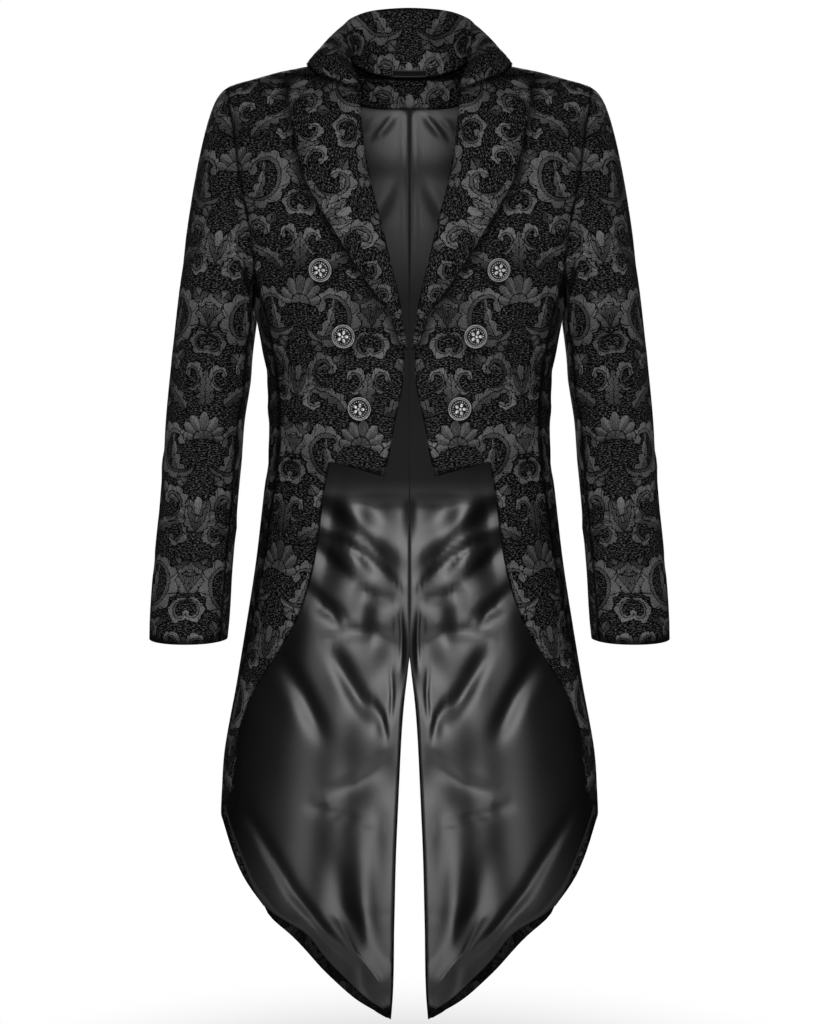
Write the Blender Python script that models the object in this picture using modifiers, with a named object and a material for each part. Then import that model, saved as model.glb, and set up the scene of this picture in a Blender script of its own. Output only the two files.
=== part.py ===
"""A tailcoat, made from the pieces that its maker cuts and sews.

Fronts, side bodies, backs with tails, two-piece sleeves, lapels, a tall collar, a back-neck facing, a bare
tab, satin linings and six shank buttons. Everything is in metres. The coat faces -Y with +Z up, X = 0 is its
centre plane, and the origin is where the shoulders hold it, level with the nape.

Heights are measured from the nape. A turn is the angle in degrees round the coat's axis, from 0 at the
centre front past 90 at the side to 180 at the centre back. A clock is the angle in degrees round a sleeve,
from 0 at the outside past 90 at the front and 180 next to the body to 270 at the back. Every place is
worked out for the wearer's left, at +X, and mirrored for the right.
"""

import math
from bisect import bisect_right
from collections import namedtuple

import bmesh
import bpy
from mathutils import Matrix, Vector

# Cloth and seams
GAP = 0.0003
CLOTH = 0.002
SATIN = 0.001
WOVEN_TAB = 0.0007
STEP = 0.02
SHORT = 0.00002
SMOOTH_ANGLE = 40

# The body form, a stack of rounded rings under a shoulder line
Ring = namedtuple("Ring", "height half_width front back")
RINGS = [
    Ring(0.040, 0.2360, 0.112, 0.092),
    Ring(-0.060, 0.2360, 0.114, 0.096),
    Ring(-0.120, 0.2300, 0.117, 0.100),
    Ring(-0.180, 0.2130, 0.119, 0.100),
    Ring(-0.230, 0.1920, 0.119, 0.098),
    Ring(-0.268, 0.1800, 0.118, 0.096),
    Ring(-0.304, 0.1725, 0.117, 0.093),
    Ring(-0.350, 0.1655, 0.113, 0.089),
    Ring(-0.410, 0.1628, 0.109, 0.087),
    Ring(-0.444, 0.1648, 0.108, 0.089),
    Ring(-0.492, 0.1705, 0.109, 0.093),
    Ring(-0.560, 0.1788, 0.110, 0.100),
    Ring(-0.655, 0.1945, 0.113, 0.107),
    Ring(-0.728, 0.2075, 0.114, 0.110),
    Ring(-0.790, 0.2195, 0.113, 0.112),
    Ring(-0.850, 0.2240, 0.110, 0.112),
    Ring(-0.950, 0.2260, 0.110, 0.112),
    Ring(-1.160, 0.2280, 0.110, 0.114),
]
SQUARENESS = 2.35
RIDGE_Y = 0.008
FRONT_ROUNDING = 0.190
BACK_ROUNDING = 0.150

ShoulderPoint = namedtuple("ShoulderPoint", "across height")
SHOULDER = [
    ShoulderPoint(0.000, 0.0205),
    ShoulderPoint(0.030, 0.0205),
    ShoulderPoint(0.060, 0.0196),
    ShoulderPoint(0.078, 0.0170),
    ShoulderPoint(0.118, 0.0080),
    ShoulderPoint(0.151, 0.0015),
    ShoulderPoint(0.176, -0.0055),
    ShoulderPoint(0.207, -0.0145),
    ShoulderPoint(0.236, -0.0300),
]
NECK_POINT = 0.078

NapePoint = namedtuple("NapePoint", "across height")
NAPE = [
    NapePoint(0.000, -0.0050),
    NapePoint(0.020, -0.0046),
    NapePoint(0.040, -0.0015),
    NapePoint(0.060, 0.0062),
    NapePoint(0.078, 0.0170),
]

# Soft flutes in the skirt, each from a turn and height at its top to those at its foot
Flute = namedtuple("Flute", "top_turn top foot_turn foot width swell")
FLUTES = [
    Flute(160.0, -0.500, 152.0, -1.150, 9.0, 0.0060),
    Flute(138.0, -0.480, 126.0, -1.060, 8.0, -0.0050),
    Flute(112.0, -0.520, 106.0, -0.960, 7.0, 0.0045),
    Flute(82.0, -0.560, 84.0, -0.860, 5.0, -0.0025),
]

# Edges and seams on the body form
ArmholePoint = namedtuple("ArmholePoint", "clock height turn")
ARMHOLE = [
    ArmholePoint(0, -0.0145, 72.7),
    ArmholePoint(18, -0.0185, 72.7),
    ArmholePoint(36, -0.0310, 72.4),
    ArmholePoint(54, -0.0540, 71.2),
    ArmholePoint(72, -0.0850, 69.9),
    ArmholePoint(90, -0.1200, 68.8),
    ArmholePoint(108, -0.1570, 68.0),
    ArmholePoint(126, -0.1960, 68.4),
    ArmholePoint(144, -0.2340, 72.0),
    ArmholePoint(162, -0.2600, 81.0),
    ArmholePoint(180, -0.2680, 91.0),
    ArmholePoint(198, -0.2620, 101.0),
    ArmholePoint(216, -0.2420, 108.5),
    ArmholePoint(234, -0.1980, 107.6),
    ArmholePoint(252, -0.1560, 106.7),
    ArmholePoint(270, -0.1190, 106.3),
    ArmholePoint(288, -0.0850, 105.7),
    ArmholePoint(306, -0.0540, 105.1),
    ArmholePoint(324, -0.0310, 104.7),
    ArmholePoint(342, -0.0185, 104.5),
    ArmholePoint(360, -0.0145, 104.5),
]
CLOCK_STEP = 18
FRONT_JOIN_CLOCK = 144
BACK_JOIN_CLOCK = 216

EdgePoint = namedtuple("EdgePoint", "height across")
FRONT_EDGE = [
    EdgePoint(0.0170, 0.0780),
    EdgePoint(-0.0110, 0.0640),
    EdgePoint(-0.0440, 0.0590),
    EdgePoint(-0.0800, 0.0554),
    EdgePoint(-0.1080, 0.0500),
    EdgePoint(-0.1450, 0.0430),
    EdgePoint(-0.1650, 0.0364),
    EdgePoint(-0.2070, 0.0264),
    EdgePoint(-0.2410, 0.0175),
    EdgePoint(-0.2760, 0.0114),
    EdgePoint(-0.3000, 0.0076),
    EdgePoint(-0.3170, 0.0050),
    EdgePoint(-0.3350, 0.0062),
    EdgePoint(-0.3680, 0.0101),
    EdgePoint(-0.3960, 0.0168),
    EdgePoint(-0.4300, 0.0225),
    EdgePoint(-0.4550, 0.0282),
]

SeamPoint = namedtuple("SeamPoint", "height turn")
CUTAWAY = [
    SeamPoint(-0.439, 43.3),
    SeamPoint(-0.481, 46.2),
    SeamPoint(-0.504, 46.9),
    SeamPoint(-0.580, 51.1),
    SeamPoint(-0.612, 54.2),
    SeamPoint(-0.646, 59.5),
    SeamPoint(-0.690, 67.7),
    SeamPoint(-0.720, 73.2),
    SeamPoint(-0.754, 75.3),
    SeamPoint(-0.817, 75.6),
    SeamPoint(-0.844, 77.9),
]
FRONT_SEAM = [
    SeamPoint(-0.234, 72.0),
    SeamPoint(-0.300, 70.0),
    SeamPoint(-0.440, 70.5),
    SeamPoint(-0.550, 74.0),
    SeamPoint(-0.650, 79.0),
    SeamPoint(-0.750, 85.5),
    SeamPoint(-0.862, 89.0),
]
BACK_SEAM = [
    SeamPoint(-0.242, 108.5),
    SeamPoint(-0.300, 115.0),
    SeamPoint(-0.370, 122.0),
    SeamPoint(-0.440, 125.0),
    SeamPoint(-0.560, 124.0),
    SeamPoint(-0.760, 118.0),
    SeamPoint(-1.000, 114.0),
]
VENT = [
    SeamPoint(-0.700, 180.0),
    SeamPoint(-0.714, 180.0),
    SeamPoint(-0.727, 178.1),
    SeamPoint(-0.752, 176.8),
    SeamPoint(-0.797, 175.0),
    SeamPoint(-0.877, 173.1),
    SeamPoint(-0.927, 171.9),
    SeamPoint(-1.028, 170.6),
    SeamPoint(-1.130, 169.5),
    SeamPoint(-1.155, 168.6),
]

TailPoint = namedtuple("TailPoint", "turn height")
TAIL_EDGE = [
    TailPoint(77.9, -0.844),
    TailPoint(89.0, -0.862),
    TailPoint(94.5, -0.876),
    TailPoint(100.4, -0.904),
    TailPoint(104.4, -0.937),
    TailPoint(108.6, -0.965),
    TailPoint(112.7, -0.993),
    TailPoint(117.6, -1.0205),
    TailPoint(123.6, -1.048),
    TailPoint(130.3, -1.0755),
    TailPoint(139.1, -1.103),
    TailPoint(149.9, -1.129),
    TailPoint(158.4, -1.142),
    TailPoint(168.6, -1.1545),
]
HEM_LEVEL = -0.440
HEM_POINT = -0.455
HEM_CORNER = -0.439
HEM_CORNER_TURN = 43.3
CUTAWAY_FOOT = -0.844
FRONT_SEAM_FOOT = -0.862
BACK_SEAM_FOOT = -1.000
BACK_SEAM_FOOT_TURN = 114.0
TIP_TURN = 165.5
TIP_HEIGHT = -1.1545
NAPE_HEIGHT = -0.005

# Rows and columns of cloth between seams
ARM_ROWS = 8
WAIST_ROWS = 7
SKIRT_ROWS = 11
TAIL_ROWS = 8
FRONT_COLUMNS = 12
CORNER_COLUMN = 6
SIDE_COLUMNS = 4
BACK_COLUMNS = 8
BACK_ROWS = ARM_ROWS + WAIST_ROWS + SKIRT_ROWS + TAIL_ROWS

# Sleeves
Tube = namedtuple("Tube", "height across forward half_width half_depth")
SLEEVE = [
    Tube(-0.290, 0.2240, 0.008, 0.0468, 0.0660),
    Tube(-0.352, 0.2313, 0.006, 0.0470, 0.0640),
    Tube(-0.398, 0.2361, 0.005, 0.0470, 0.0620),
    Tube(-0.444, 0.2407, 0.008, 0.0458, 0.0595),
    Tube(-0.490, 0.2447, 0.014, 0.0452, 0.0570),
    Tube(-0.536, 0.2487, 0.022, 0.0458, 0.0545),
    Tube(-0.582, 0.2525, 0.030, 0.0460, 0.0525),
    Tube(-0.628, 0.2551, 0.038, 0.0463, 0.0510),
    Tube(-0.652, 0.2565, 0.042, 0.0455, 0.0500),
]
SLEEVE_SQUARENESS = 2.1
SLEEVE_TOP = -0.290
CUFF_HEIGHT = -0.649
CAP_ROWS = 6
TUBE_ROWS = 10
Spring = namedtuple("Spring", "clock out forward down")
CAP = [
    Spring(0, 0.090, 0.000, 0.010),
    Spring(36, 0.080, 0.026, 0.020),
    Spring(72, 0.062, 0.032, 0.040),
    Spring(108, 0.044, 0.022, 0.060),
    Spring(144, 0.020, 0.010, 0.045),
    Spring(180, 0.004, 0.000, 0.022),
    Spring(216, 0.020, -0.012, 0.045),
    Spring(252, 0.046, -0.026, 0.058),
    Spring(288, 0.066, -0.036, 0.040),
    Spring(324, 0.080, -0.026, 0.020),
    Spring(360, 0.090, 0.000, 0.010),
]
CAP_FALL = 1.15
ARMHOLE_CENTRE = Vector((0.190, 0.000, -0.130))
ARMHOLE_GAP = 0.0009
ALONG_STEP = 0.002
CLOCK_NUDGE = 0.5
FOREARM_SEAM_CLOCK = 144
SLEEVE_SEAM = 0.26
ELBOW_SEAM_CLOCK = 252
Dent = namedtuple("Dent", "clock height width rise sink")
SLEEVE_DENTS = [
    Dent(120, -0.330, 55, 0.022, 0.0030),
    Dent(150, -0.405, 60, 0.020, 0.0040),
    Dent(90, -0.440, 50, 0.018, 0.0030),
    Dent(250, -0.420, 45, 0.025, 0.0025),
]

# Lapels: each row joins a place on the roll line to one on the outer edge
LapelRow = namedtuple("LapelRow", "along roll_x roll_z edge_x edge_z")
LAPEL = [
    LapelRow(0.00, 0.0015, -0.3130, 0.0115, -0.3040),
    LapelRow(0.10, 0.0060, -0.2830, 0.0200, -0.2730),
    LapelRow(0.20, 0.0115, -0.2520, 0.0390, -0.2470),
    LapelRow(0.35, 0.0222, -0.2070, 0.0666, -0.2070),
    LapelRow(0.50, 0.0322, -0.1650, 0.0880, -0.1720),
    LapelRow(0.63, 0.0400, -0.1360, 0.1100, -0.1365),
    LapelRow(0.76, 0.0480, -0.0960, 0.1237, -0.0975),
    LapelRow(0.88, 0.0530, -0.0600, 0.1325, -0.0520),
    LapelRow(1.00, 0.0565, -0.0240, 0.1417, -0.0053),
]
LAPEL_ROWS = 13
LEG_COLUMNS = 1
WRAP_COLUMNS = 4
FACE_COLUMNS = 6
ROLL_RADIUS = 0.0052
ROLL_CENTRE_DEPTH = 0.0013
LEG_LENGTH = 0.012
EDGE_LIFT = 0.0036
PEAK_LIFT = 0.0052
BELLY_LIFT = 0.0010
NOTCH_SHARE = 0.447
NOTCH_RISE = 0.0060
NOTCH_REACH = 8
PEAK_START = 0.55

# Collar: it wraps the fronts' neck edge, then stands on the back's, and four lines run round the neck
NeckPoint = namedtuple("NeckPoint", "station x y z")
COLLAR_ROLL = [
    NeckPoint(0.14, 0.0600, -0.0520, -0.0060),
    NeckPoint(0.30, 0.0670, -0.0270, 0.0130),
    NeckPoint(0.45, 0.0670, 0.0020, 0.0270),
    NeckPoint(0.60, 0.0590, 0.0270, 0.0400),
    NeckPoint(0.75, 0.0420, 0.0450, 0.0510),
    NeckPoint(0.88, 0.0220, 0.0535, 0.0580),
    NeckPoint(1.00, 0.0000, 0.0560, 0.0600),
]
COLLAR_CREST = [
    NeckPoint(0.14, 0.0770, -0.0590, 0.0040),
    NeckPoint(0.30, 0.0860, -0.0320, 0.0250),
    NeckPoint(0.45, 0.0900, 0.0030, 0.0385),
    NeckPoint(0.60, 0.0800, 0.0340, 0.0540),
    NeckPoint(0.75, 0.0605, 0.0560, 0.0705),
    NeckPoint(0.88, 0.0320, 0.0650, 0.0775),
    NeckPoint(1.00, 0.0000, 0.0680, 0.0795),
]
COLLAR_FALL = [
    NeckPoint(0.14, 0.0930, -0.0530, 0.0040),
    NeckPoint(0.30, 0.1030, -0.0290, 0.0210),
    NeckPoint(0.45, 0.1065, 0.0060, 0.0250),
    NeckPoint(0.60, 0.0990, 0.0430, 0.0290),
    NeckPoint(0.75, 0.0720, 0.0690, 0.0370),
    NeckPoint(0.88, 0.0380, 0.0795, 0.0410),
    NeckPoint(1.00, 0.0000, 0.0825, 0.0425),
]
COLLAR_EDGE = [
    NeckPoint(0.14, 0.1060, -0.0420, -0.0010),
    NeckPoint(0.30, 0.1150, -0.0220, 0.0085),
    NeckPoint(0.45, 0.1180, 0.0080, 0.0110),
    NeckPoint(0.60, 0.1120, 0.0430, 0.0010),
    NeckPoint(0.75, 0.0800, 0.0680, -0.0120),
    NeckPoint(0.88, 0.0410, 0.0755, -0.0185),
    NeckPoint(1.00, 0.0000, 0.0775, -0.0200),
]
COLLAR_COLUMNS = 10
COLLAR_ROWS = 28
SIDE_COLUMN = 2
TOP_COLUMN = 4
ROLL_COLUMN = 3.6
CREST_COLUMN = 6.0
FALL_COLUMN = 8.0
GORGE_HEIGHT = -0.0235
GORGE_SHARE = 0.14
GORGE_GAP = 0.0014
GORGE_LEG = 0.3
SHOULDER_STATION = 0.45
WRAP_START = 0.25
WRAP_END = 0.50
COLLAR_LEG = 0.0080
LEG_START = 0.08
LEG_END = 0.24
FIRST_RISE = 0.17
SECOND_RISE = 0.35
NECK_STEP = 0.01
STATION_STEP = 0.004
COLUMN_STEP = 0.03

# Back-neck facing and tab, on the back's and the collar's own rows
FACING_BACK_COLUMNS = 4
FACING_ROWS = 3
FACING_FIRST_ROW = 0.35
FACING_LAST_ROW = 2.60
FACING_EASE = 0.0014
TAB_ROWS = 4
TAB_FOOT_COLUMN = 0.06
TAB_TOP_COLUMN = 0.72

# Satin linings, on the rows of the back and the side body
LINING_START = 2
LINING_FIRST_ROW = 2.62
LINING_ROWS = 31
LINING_EASE = 0.0008
TAIL_EASE = 0.0015
LINING_RISE = 0.0120
FOOT_RISE = 0.31
VENT_HEM = 0.0035
Crease = namedtuple("Crease", "x1 z1 x2 z2 width rise")
LINING_CREASES = [
    Crease(0.100, -0.490, 0.025, -0.560, 0.016, 0.0070),
    Crease(0.110, -0.530, 0.030, -0.600, 0.016, 0.0060),
    Crease(0.120, -0.585, 0.060, -0.640, 0.016, 0.0055),
    Crease(0.100, -0.665, 0.020, -0.690, 0.014, 0.0055),
    Crease(0.075, -0.760, 0.012, -0.720, 0.014, 0.0045),
    Crease(0.095, -0.870, 0.030, -0.835, 0.014, 0.0045),
    Crease(0.090, -1.000, 0.040, -1.100, 0.014, 0.0040),
]

# Buttons, each a turned dome with a raised rim on a short shank
ButtonPlace = namedtuple("ButtonPlace", "name across height")
BUTTONS = [
    ButtonPlace("button_1", 0.0992, -0.2226),
    ButtonPlace("button_2", 0.0737, -0.2965),
    ButtonPlace("button_3", 0.0561, -0.3778),
]
ProfilePoint = namedtuple("ProfilePoint", "radius height")
BUTTON_PROFILE = [
    ProfilePoint(0.0000, 0.0106),
    ProfilePoint(0.0050, 0.0101),
    ProfilePoint(0.0098, 0.0080),
    ProfilePoint(0.0112, 0.0082),
    ProfilePoint(0.0128, 0.0079),
    ProfilePoint(0.0136, 0.0062),
    ProfilePoint(0.0126, 0.0048),
    ProfilePoint(0.0034, 0.0042),
    ProfilePoint(0.0034, 0.0003),
    ProfilePoint(0.0000, 0.0003),
]
BUTTON_SIDES = 12
BUTTON_MERGE = 0.00001

BROCADE = ("brocade", (0.020, 0.020, 0.022), 0.75, 0.0)
BLACK_SATIN = ("black_satin", (0.030, 0.030, 0.033), 0.35, 0.0)
TAB_CLOTH = ("woven_tab", (0.060, 0.060, 0.062), 0.60, 0.0)
OLD_SILVER = ("antique_silver", (0.320, 0.320, 0.330), 0.35, 1.0)


def through(rows, column):
    """A smooth curve through one column of a table, read at any value of the table's first column."""
    rows = sorted(rows)
    places = [row[0] for row in rows]
    values = [getattr(row, column) for row in rows]
    steps = [b - a for a, b in zip(places, places[1:])]
    rises = [(b - a) / step for a, b, step in zip(values, values[1:], steps)]
    slopes = [rises[0]]
    for k in range(1, len(rises)):
        total = steps[k - 1] + steps[k]
        slopes.append((rises[k - 1] * steps[k] + rises[k] * steps[k - 1]) / total)
    slopes.append(rises[-1])

    def value(place):
        place = min(max(place, places[0]), places[-1])
        k = min(bisect_right(places, place), len(steps)) - 1
        t = (place - places[k]) / steps[k]
        start = (1 + 2 * t) * (1 - t) ** 2 * values[k] + t * (1 - t) ** 2 * steps[k] * slopes[k]
        return start + t * t * (3 - 2 * t) * values[k + 1] + t * t * (t - 1) * steps[k] * slopes[k + 1]

    return value


def blend(a, b, share):
    return a + (b - a) * share


def ease(share):
    share = min(max(share, 0.0), 1.0)
    return share * share * (3 - 2 * share)


half_width = through(RINGS, "half_width")
front_depth = through(RINGS, "front")
back_depth = through(RINGS, "back")
shoulder = through(SHOULDER, "height")
nape = through(NAPE, "height")
armhole_height = through(ARMHOLE, "height")
armhole_turn = through(ARMHOLE, "turn")
front_edge = through(FRONT_EDGE, "across")
cutaway = through(CUTAWAY, "turn")
front_seam = through(FRONT_SEAM, "turn")
back_seam = through(BACK_SEAM, "turn")
vent = through(VENT, "turn")
tail_edge = through(TAIL_EDGE, "height")


def flutes(turn, height):
    """How far the skirt's soft flutes push the cloth out here."""
    out = 0.0
    for flute in FLUTES:
        down = (flute.top - height) / (flute.top - flute.foot)
        centre = blend(flute.top_turn, flute.foot_turn, min(max(down, 0.0), 1.0))
        out += flute.swell * ease(down) * math.exp(-(((turn - centre) / flute.width) ** 2))
    return out


def ring_point(turn, height):
    """The body's ring at this turn and height, before the shoulder rounds it in: its x and y."""
    sine = math.sin(math.radians(turn))
    cosine = math.cos(math.radians(turn))
    deep = front_depth(height) if cosine > 0 else back_depth(height)
    size = abs(sine / half_width(height)) ** SQUARENESS + abs(cosine / deep) ** SQUARENESS
    reach = size ** (-1 / SQUARENESS) + flutes(turn, height)
    return reach * sine, -reach * cosine


def body(turn, height):
    """A point on the coat's outer face, front and back meeting half a gap off the shoulder's ridge."""
    x, y = ring_point(turn, height)
    front = turn < 90
    ridge = RIDGE_Y - GAP if front else RIDGE_Y + GAP
    drop = max(shoulder(abs(x)) - height, 0.0)
    share = min(drop / (FRONT_ROUNDING if front else BACK_ROUNDING), 1.0)
    near = math.sqrt(1 - (1 - share) ** 2)
    return Vector((x, ridge + (y - ridge) * near, height))


def outward(turn, height):
    """The way out of the cloth there, from short steps along the shoulder's slope and down."""
    here = shoulder(abs(ring_point(turn, height)[0]))
    height = min(height, here - SHORT)
    ends = []
    for sign in (-1, 1):
        beside = turn + sign * STEP
        level = height + shoulder(abs(ring_point(beside, height)[0])) - here
        ends.append(body(beside, level))
    up = body(turn, height) - body(turn, height - SHORT)
    return (ends[1] - ends[0]).cross(up).normalized()


def cloth(turn, height, depth):
    """A point this deep in the coat's cloth, from its outer face. Less than nothing is outside it."""
    return body(turn, height) - outward(turn, height) * depth


def turn_at(across, height, front=True):
    """The turn at which the body's ring is this far across from the centre plane."""
    low, high = (0.0, 90.0) if front else (90.0, 180.0)
    for _ in range(40):
        middle = (low + high) / 2
        if (ring_point(middle, height)[0] < across) == front:
            low = middle
        else:
            high = middle
    return (low + high) / 2


def half_gap(turn, height):
    """Half a seam's gap, as a turn."""
    x, y = ring_point(turn, height)
    return math.degrees(GAP / 2 / math.hypot(x, y))


def on_shoulder(turn, height, chord, row):
    """A height in the rows under the shoulder, bent from a straight row to the shoulder's own line."""
    line = shoulder(ring_point(turn, height)[0])
    return height + (line - chord) * (1 - row / ARM_ROWS) ** 2


def front_row(row):
    """A row of the front as three places, each a turn and a height: its edge, its middle and its side."""
    if row <= ARM_ROWS:
        clock = row * CLOCK_STEP
        level = armhole_height(clock)
        side = (armhole_turn(clock), level)
        rise = FRONT_EDGE[0].height - ARMHOLE[0].height
        level += rise * (1 - row / ARM_ROWS)
    else:
        share = min((row - ARM_ROWS) / WAIST_ROWS, 1.0)
        join = armhole_height(FRONT_JOIN_CLOCK)
        level = blend(join, HEM_LEVEL, share)
        side = (front_seam(level), level)
        level = blend(join, HEM_POINT, share)
    edge = (turn_at(front_edge(level), level), level)
    middle = [blend(a, b, 0.5) for a, b in zip(edge, side)]
    if row > ARM_ROWS:
        share = min((row - ARM_ROWS) / WAIST_ROWS, 1.0)
        corner = (HEM_CORNER_TURN, HEM_CORNER)
        middle = [blend(a, b, share * share) for a, b in zip(middle, corner)]
    if row > ARM_ROWS + WAIST_ROWS:
        share = (row - ARM_ROWS - WAIST_ROWS) / SKIRT_ROWS
        level = blend(HEM_CORNER, CUTAWAY_FOOT, share)
        middle = (cutaway(level), level)
        level = blend(HEM_LEVEL, FRONT_SEAM_FOOT, share)
        side = (front_seam(level), level)
    if row >= ARM_ROWS:
        side = (side[0] - half_gap(*side), side[1])
    return edge, middle, side


def front_spot(across, along):
    """The front, across from its edge to the side seam and along from the shoulder to the skirt's foot."""
    row = along * (ARM_ROWS + WAIST_ROWS + SKIRT_ROWS)
    column = across * FRONT_COLUMNS
    edge, middle, side = front_row(row)
    if column <= CORNER_COLUMN:
        share = column / CORNER_COLUMN
        turn, height = (blend(a, b, share) for a, b in zip(edge, middle))
    else:
        share = (column - CORNER_COLUMN) / (FRONT_COLUMNS - CORNER_COLUMN)
        turn, height = (blend(a, b, share) for a, b in zip(middle, side))
    if row < ARM_ROWS:
        ends = [shoulder(ring_point(*end)[0]) for end in (edge, side)]
        height = on_shoulder(turn, height, blend(*ends, across), row)
    return turn, height


def front_kept(across, along):
    """The front has no cloth below its hem, ahead of the cutaway edge."""
    below = along * (ARM_ROWS + WAIST_ROWS + SKIRT_ROWS) > ARM_ROWS + WAIST_ROWS
    return not (below and across * FRONT_COLUMNS < CORNER_COLUMN)


def side_spot(across, along):
    """The side body, across from the front's seam to the back's and along from the armhole to its foot."""
    row = along * (WAIST_ROWS + SKIRT_ROWS)
    clock = blend(FRONT_JOIN_CLOCK, BACK_JOIN_CLOCK, across)
    tops = armhole_height(FRONT_JOIN_CLOCK), armhole_height(BACK_JOIN_CLOCK)
    if row <= WAIST_ROWS:
        share = row / WAIST_ROWS
        ends = [blend(top, HEM_LEVEL, share) for top in tops]
        height = blend(armhole_height(clock), HEM_LEVEL, share)
    else:
        share = (row - WAIST_ROWS) / SKIRT_ROWS
        ends = [blend(HEM_LEVEL, foot, share) for foot in (FRONT_SEAM_FOOT, BACK_SEAM_FOOT)]
        foot_turn = blend(front_seam(FRONT_SEAM_FOOT), back_seam(BACK_SEAM_FOOT), across)
        height = blend(HEM_LEVEL, tail_edge(foot_turn), share)
    first, last = front_seam(ends[0]), back_seam(ends[1])
    turn = blend(first + half_gap(first, ends[0]), last - half_gap(last, ends[1]), across)
    straight = blend(armhole_turn(FRONT_JOIN_CLOCK), armhole_turn(BACK_JOIN_CLOCK), across)
    turn += (armhole_turn(clock) - straight) * ease(1 - row / WAIST_ROWS)
    return turn, height


# One column of the back starts at the neck point, where the shoulder seam meets the collar
NECK_ACROSS = 0.375
NECK_END = 0.5
NECK_INSET = 0.0001
NECK_TURN = turn_at(NECK_POINT + NECK_INSET, shoulder(NECK_POINT), front=False)
SETTLE_ROUNDS = 8


def back_spot(across, along):
    """The back and its tail, across from the side to the centre and along from the shoulder to the tip."""
    row = along * BACK_ROWS
    join = armhole_height(BACK_JOIN_CLOCK)
    if row <= ARM_ROWS:
        clock = ARMHOLE[-1].clock - row * CLOCK_STEP
        side = (armhole_turn(clock), armhole_height(clock))
        drop = (side[1] - ARMHOLE[-1].height) / (join - ARMHOLE[-1].height)
        level = blend(NAPE_HEIGHT, join, drop)
    elif row <= ARM_ROWS + WAIST_ROWS:
        level = blend(join, HEM_LEVEL, (row - ARM_ROWS) / WAIST_ROWS)
        side = (back_seam(level), level)
    elif row <= ARM_ROWS + WAIST_ROWS + SKIRT_ROWS:
        level = blend(HEM_LEVEL, BACK_SEAM_FOOT, (row - ARM_ROWS - WAIST_ROWS) / SKIRT_ROWS)
        side = (back_seam(level), level)
    else:
        share = (row - ARM_ROWS - WAIST_ROWS - SKIRT_ROWS) / TAIL_ROWS
        edge_turn = blend(BACK_SEAM_FOOT_TURN, TIP_TURN, share)
        side = (edge_turn, tail_edge(edge_turn))
        level = blend(BACK_SEAM_FOOT, TIP_HEIGHT, share)
    if ARM_ROWS <= row <= ARM_ROWS + WAIST_ROWS + SKIRT_ROWS:
        side = (side[0] + half_gap(*side), side[1])
    centre = (min(vent(level), 180.0 - half_gap(180.0, level)), level)
    turn, height = (blend(a, b, across) for a, b in zip(side, centre))
    if row < ARM_ROWS:
        near_top = (1 - row / ARM_ROWS) ** 2
        unmoved = blend(ARMHOLE[-1].turn, 180.0, NECK_ACROSS)
        near_neck = max(min(across / NECK_ACROSS, (NECK_END - across) / (NECK_END - NECK_ACROSS)), 0.0)
        turn += (NECK_TURN - unmoved) * near_neck * near_top
        chord = blend(ARMHOLE[-1].height, NAPE_HEIGHT, across)
        level = height
        for _ in range(SETTLE_ROUNDS):
            x = ring_point(turn, height)[0]
            line = nape(x) if x < NECK_POINT else shoulder(x)
            height = level + (line - chord) * near_top
    return turn, height


def laid(spot):
    """Where the cloth of a panel lies, from the turn and height of each of its spots."""

    def place(across, along, depth):
        return cloth(*spot(across, along), depth)

    return place


def tube_table(column):
    return through(SLEEVE, column)


tube_across, tube_forward = tube_table("across"), tube_table("forward")
tube_half_width, tube_half_depth = tube_table("half_width"), tube_table("half_depth")
cap_out, cap_forward, cap_down = (through(CAP, column) for column in ("out", "forward", "down"))


def dents(clock, height):
    """How far the sleeve's soft folds sink in here."""
    sunk = 0.0
    for dent in SLEEVE_DENTS:
        near = ((clock % 360 - dent.clock) / dent.width) ** 2 + ((height - dent.height) / dent.rise) ** 2
        sunk += dent.sink * math.exp(-near)
    return sunk


def tube(clock, height):
    """A point round the sleeve below the armhole, on its outer face."""
    cosine = math.cos(math.radians(clock))
    sine = math.sin(math.radians(clock))
    wide, deep = tube_half_width(height), tube_half_depth(height)
    size = abs(cosine / wide) ** SLEEVE_SQUARENESS + abs(sine / deep) ** SLEEVE_SQUARENESS
    reach = size ** (-1 / SLEEVE_SQUARENESS) - dents(clock, height)
    return Vector((tube_across(height) + reach * cosine, -tube_forward(height) - reach * sine, height))


def armhole_start(clock):
    """Where the sleeve begins, a seam's gap out from the body and in from the armhole's edge."""
    clock %= 360
    turn, height = armhole_turn(clock), armhole_height(clock)
    edge = body(turn, height)
    inwards = (ARMHOLE_CENTRE - edge).normalized()
    return edge + (outward(turn, height) + inwards) * ARMHOLE_GAP


def sleeve(clock, along):
    """A point on the sleeve's outer face, along from the armhole to the cuff."""
    row = along * (CAP_ROWS + TUBE_ROWS)
    if row >= CAP_ROWS:
        return tube(clock, blend(SLEEVE_TOP, CUFF_HEIGHT, (row - CAP_ROWS) / TUBE_ROWS))
    t = row / CAP_ROWS
    start, end = armhole_start(clock), tube(clock, SLEEVE_TOP)
    turned = clock % 360
    leaving = Vector((cap_out(turned), -cap_forward(turned), -cap_down(turned)))
    below = tube(clock, SLEEVE_TOP - GAP) - end
    arriving = below / GAP * (start.z - end.z) * CAP_FALL
    point = (1 + 2 * t) * (1 - t) ** 2 * start + t * (1 - t) ** 2 * leaving
    return point + t * t * (3 - 2 * t) * end + t * t * (t - 1) * arriving


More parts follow.
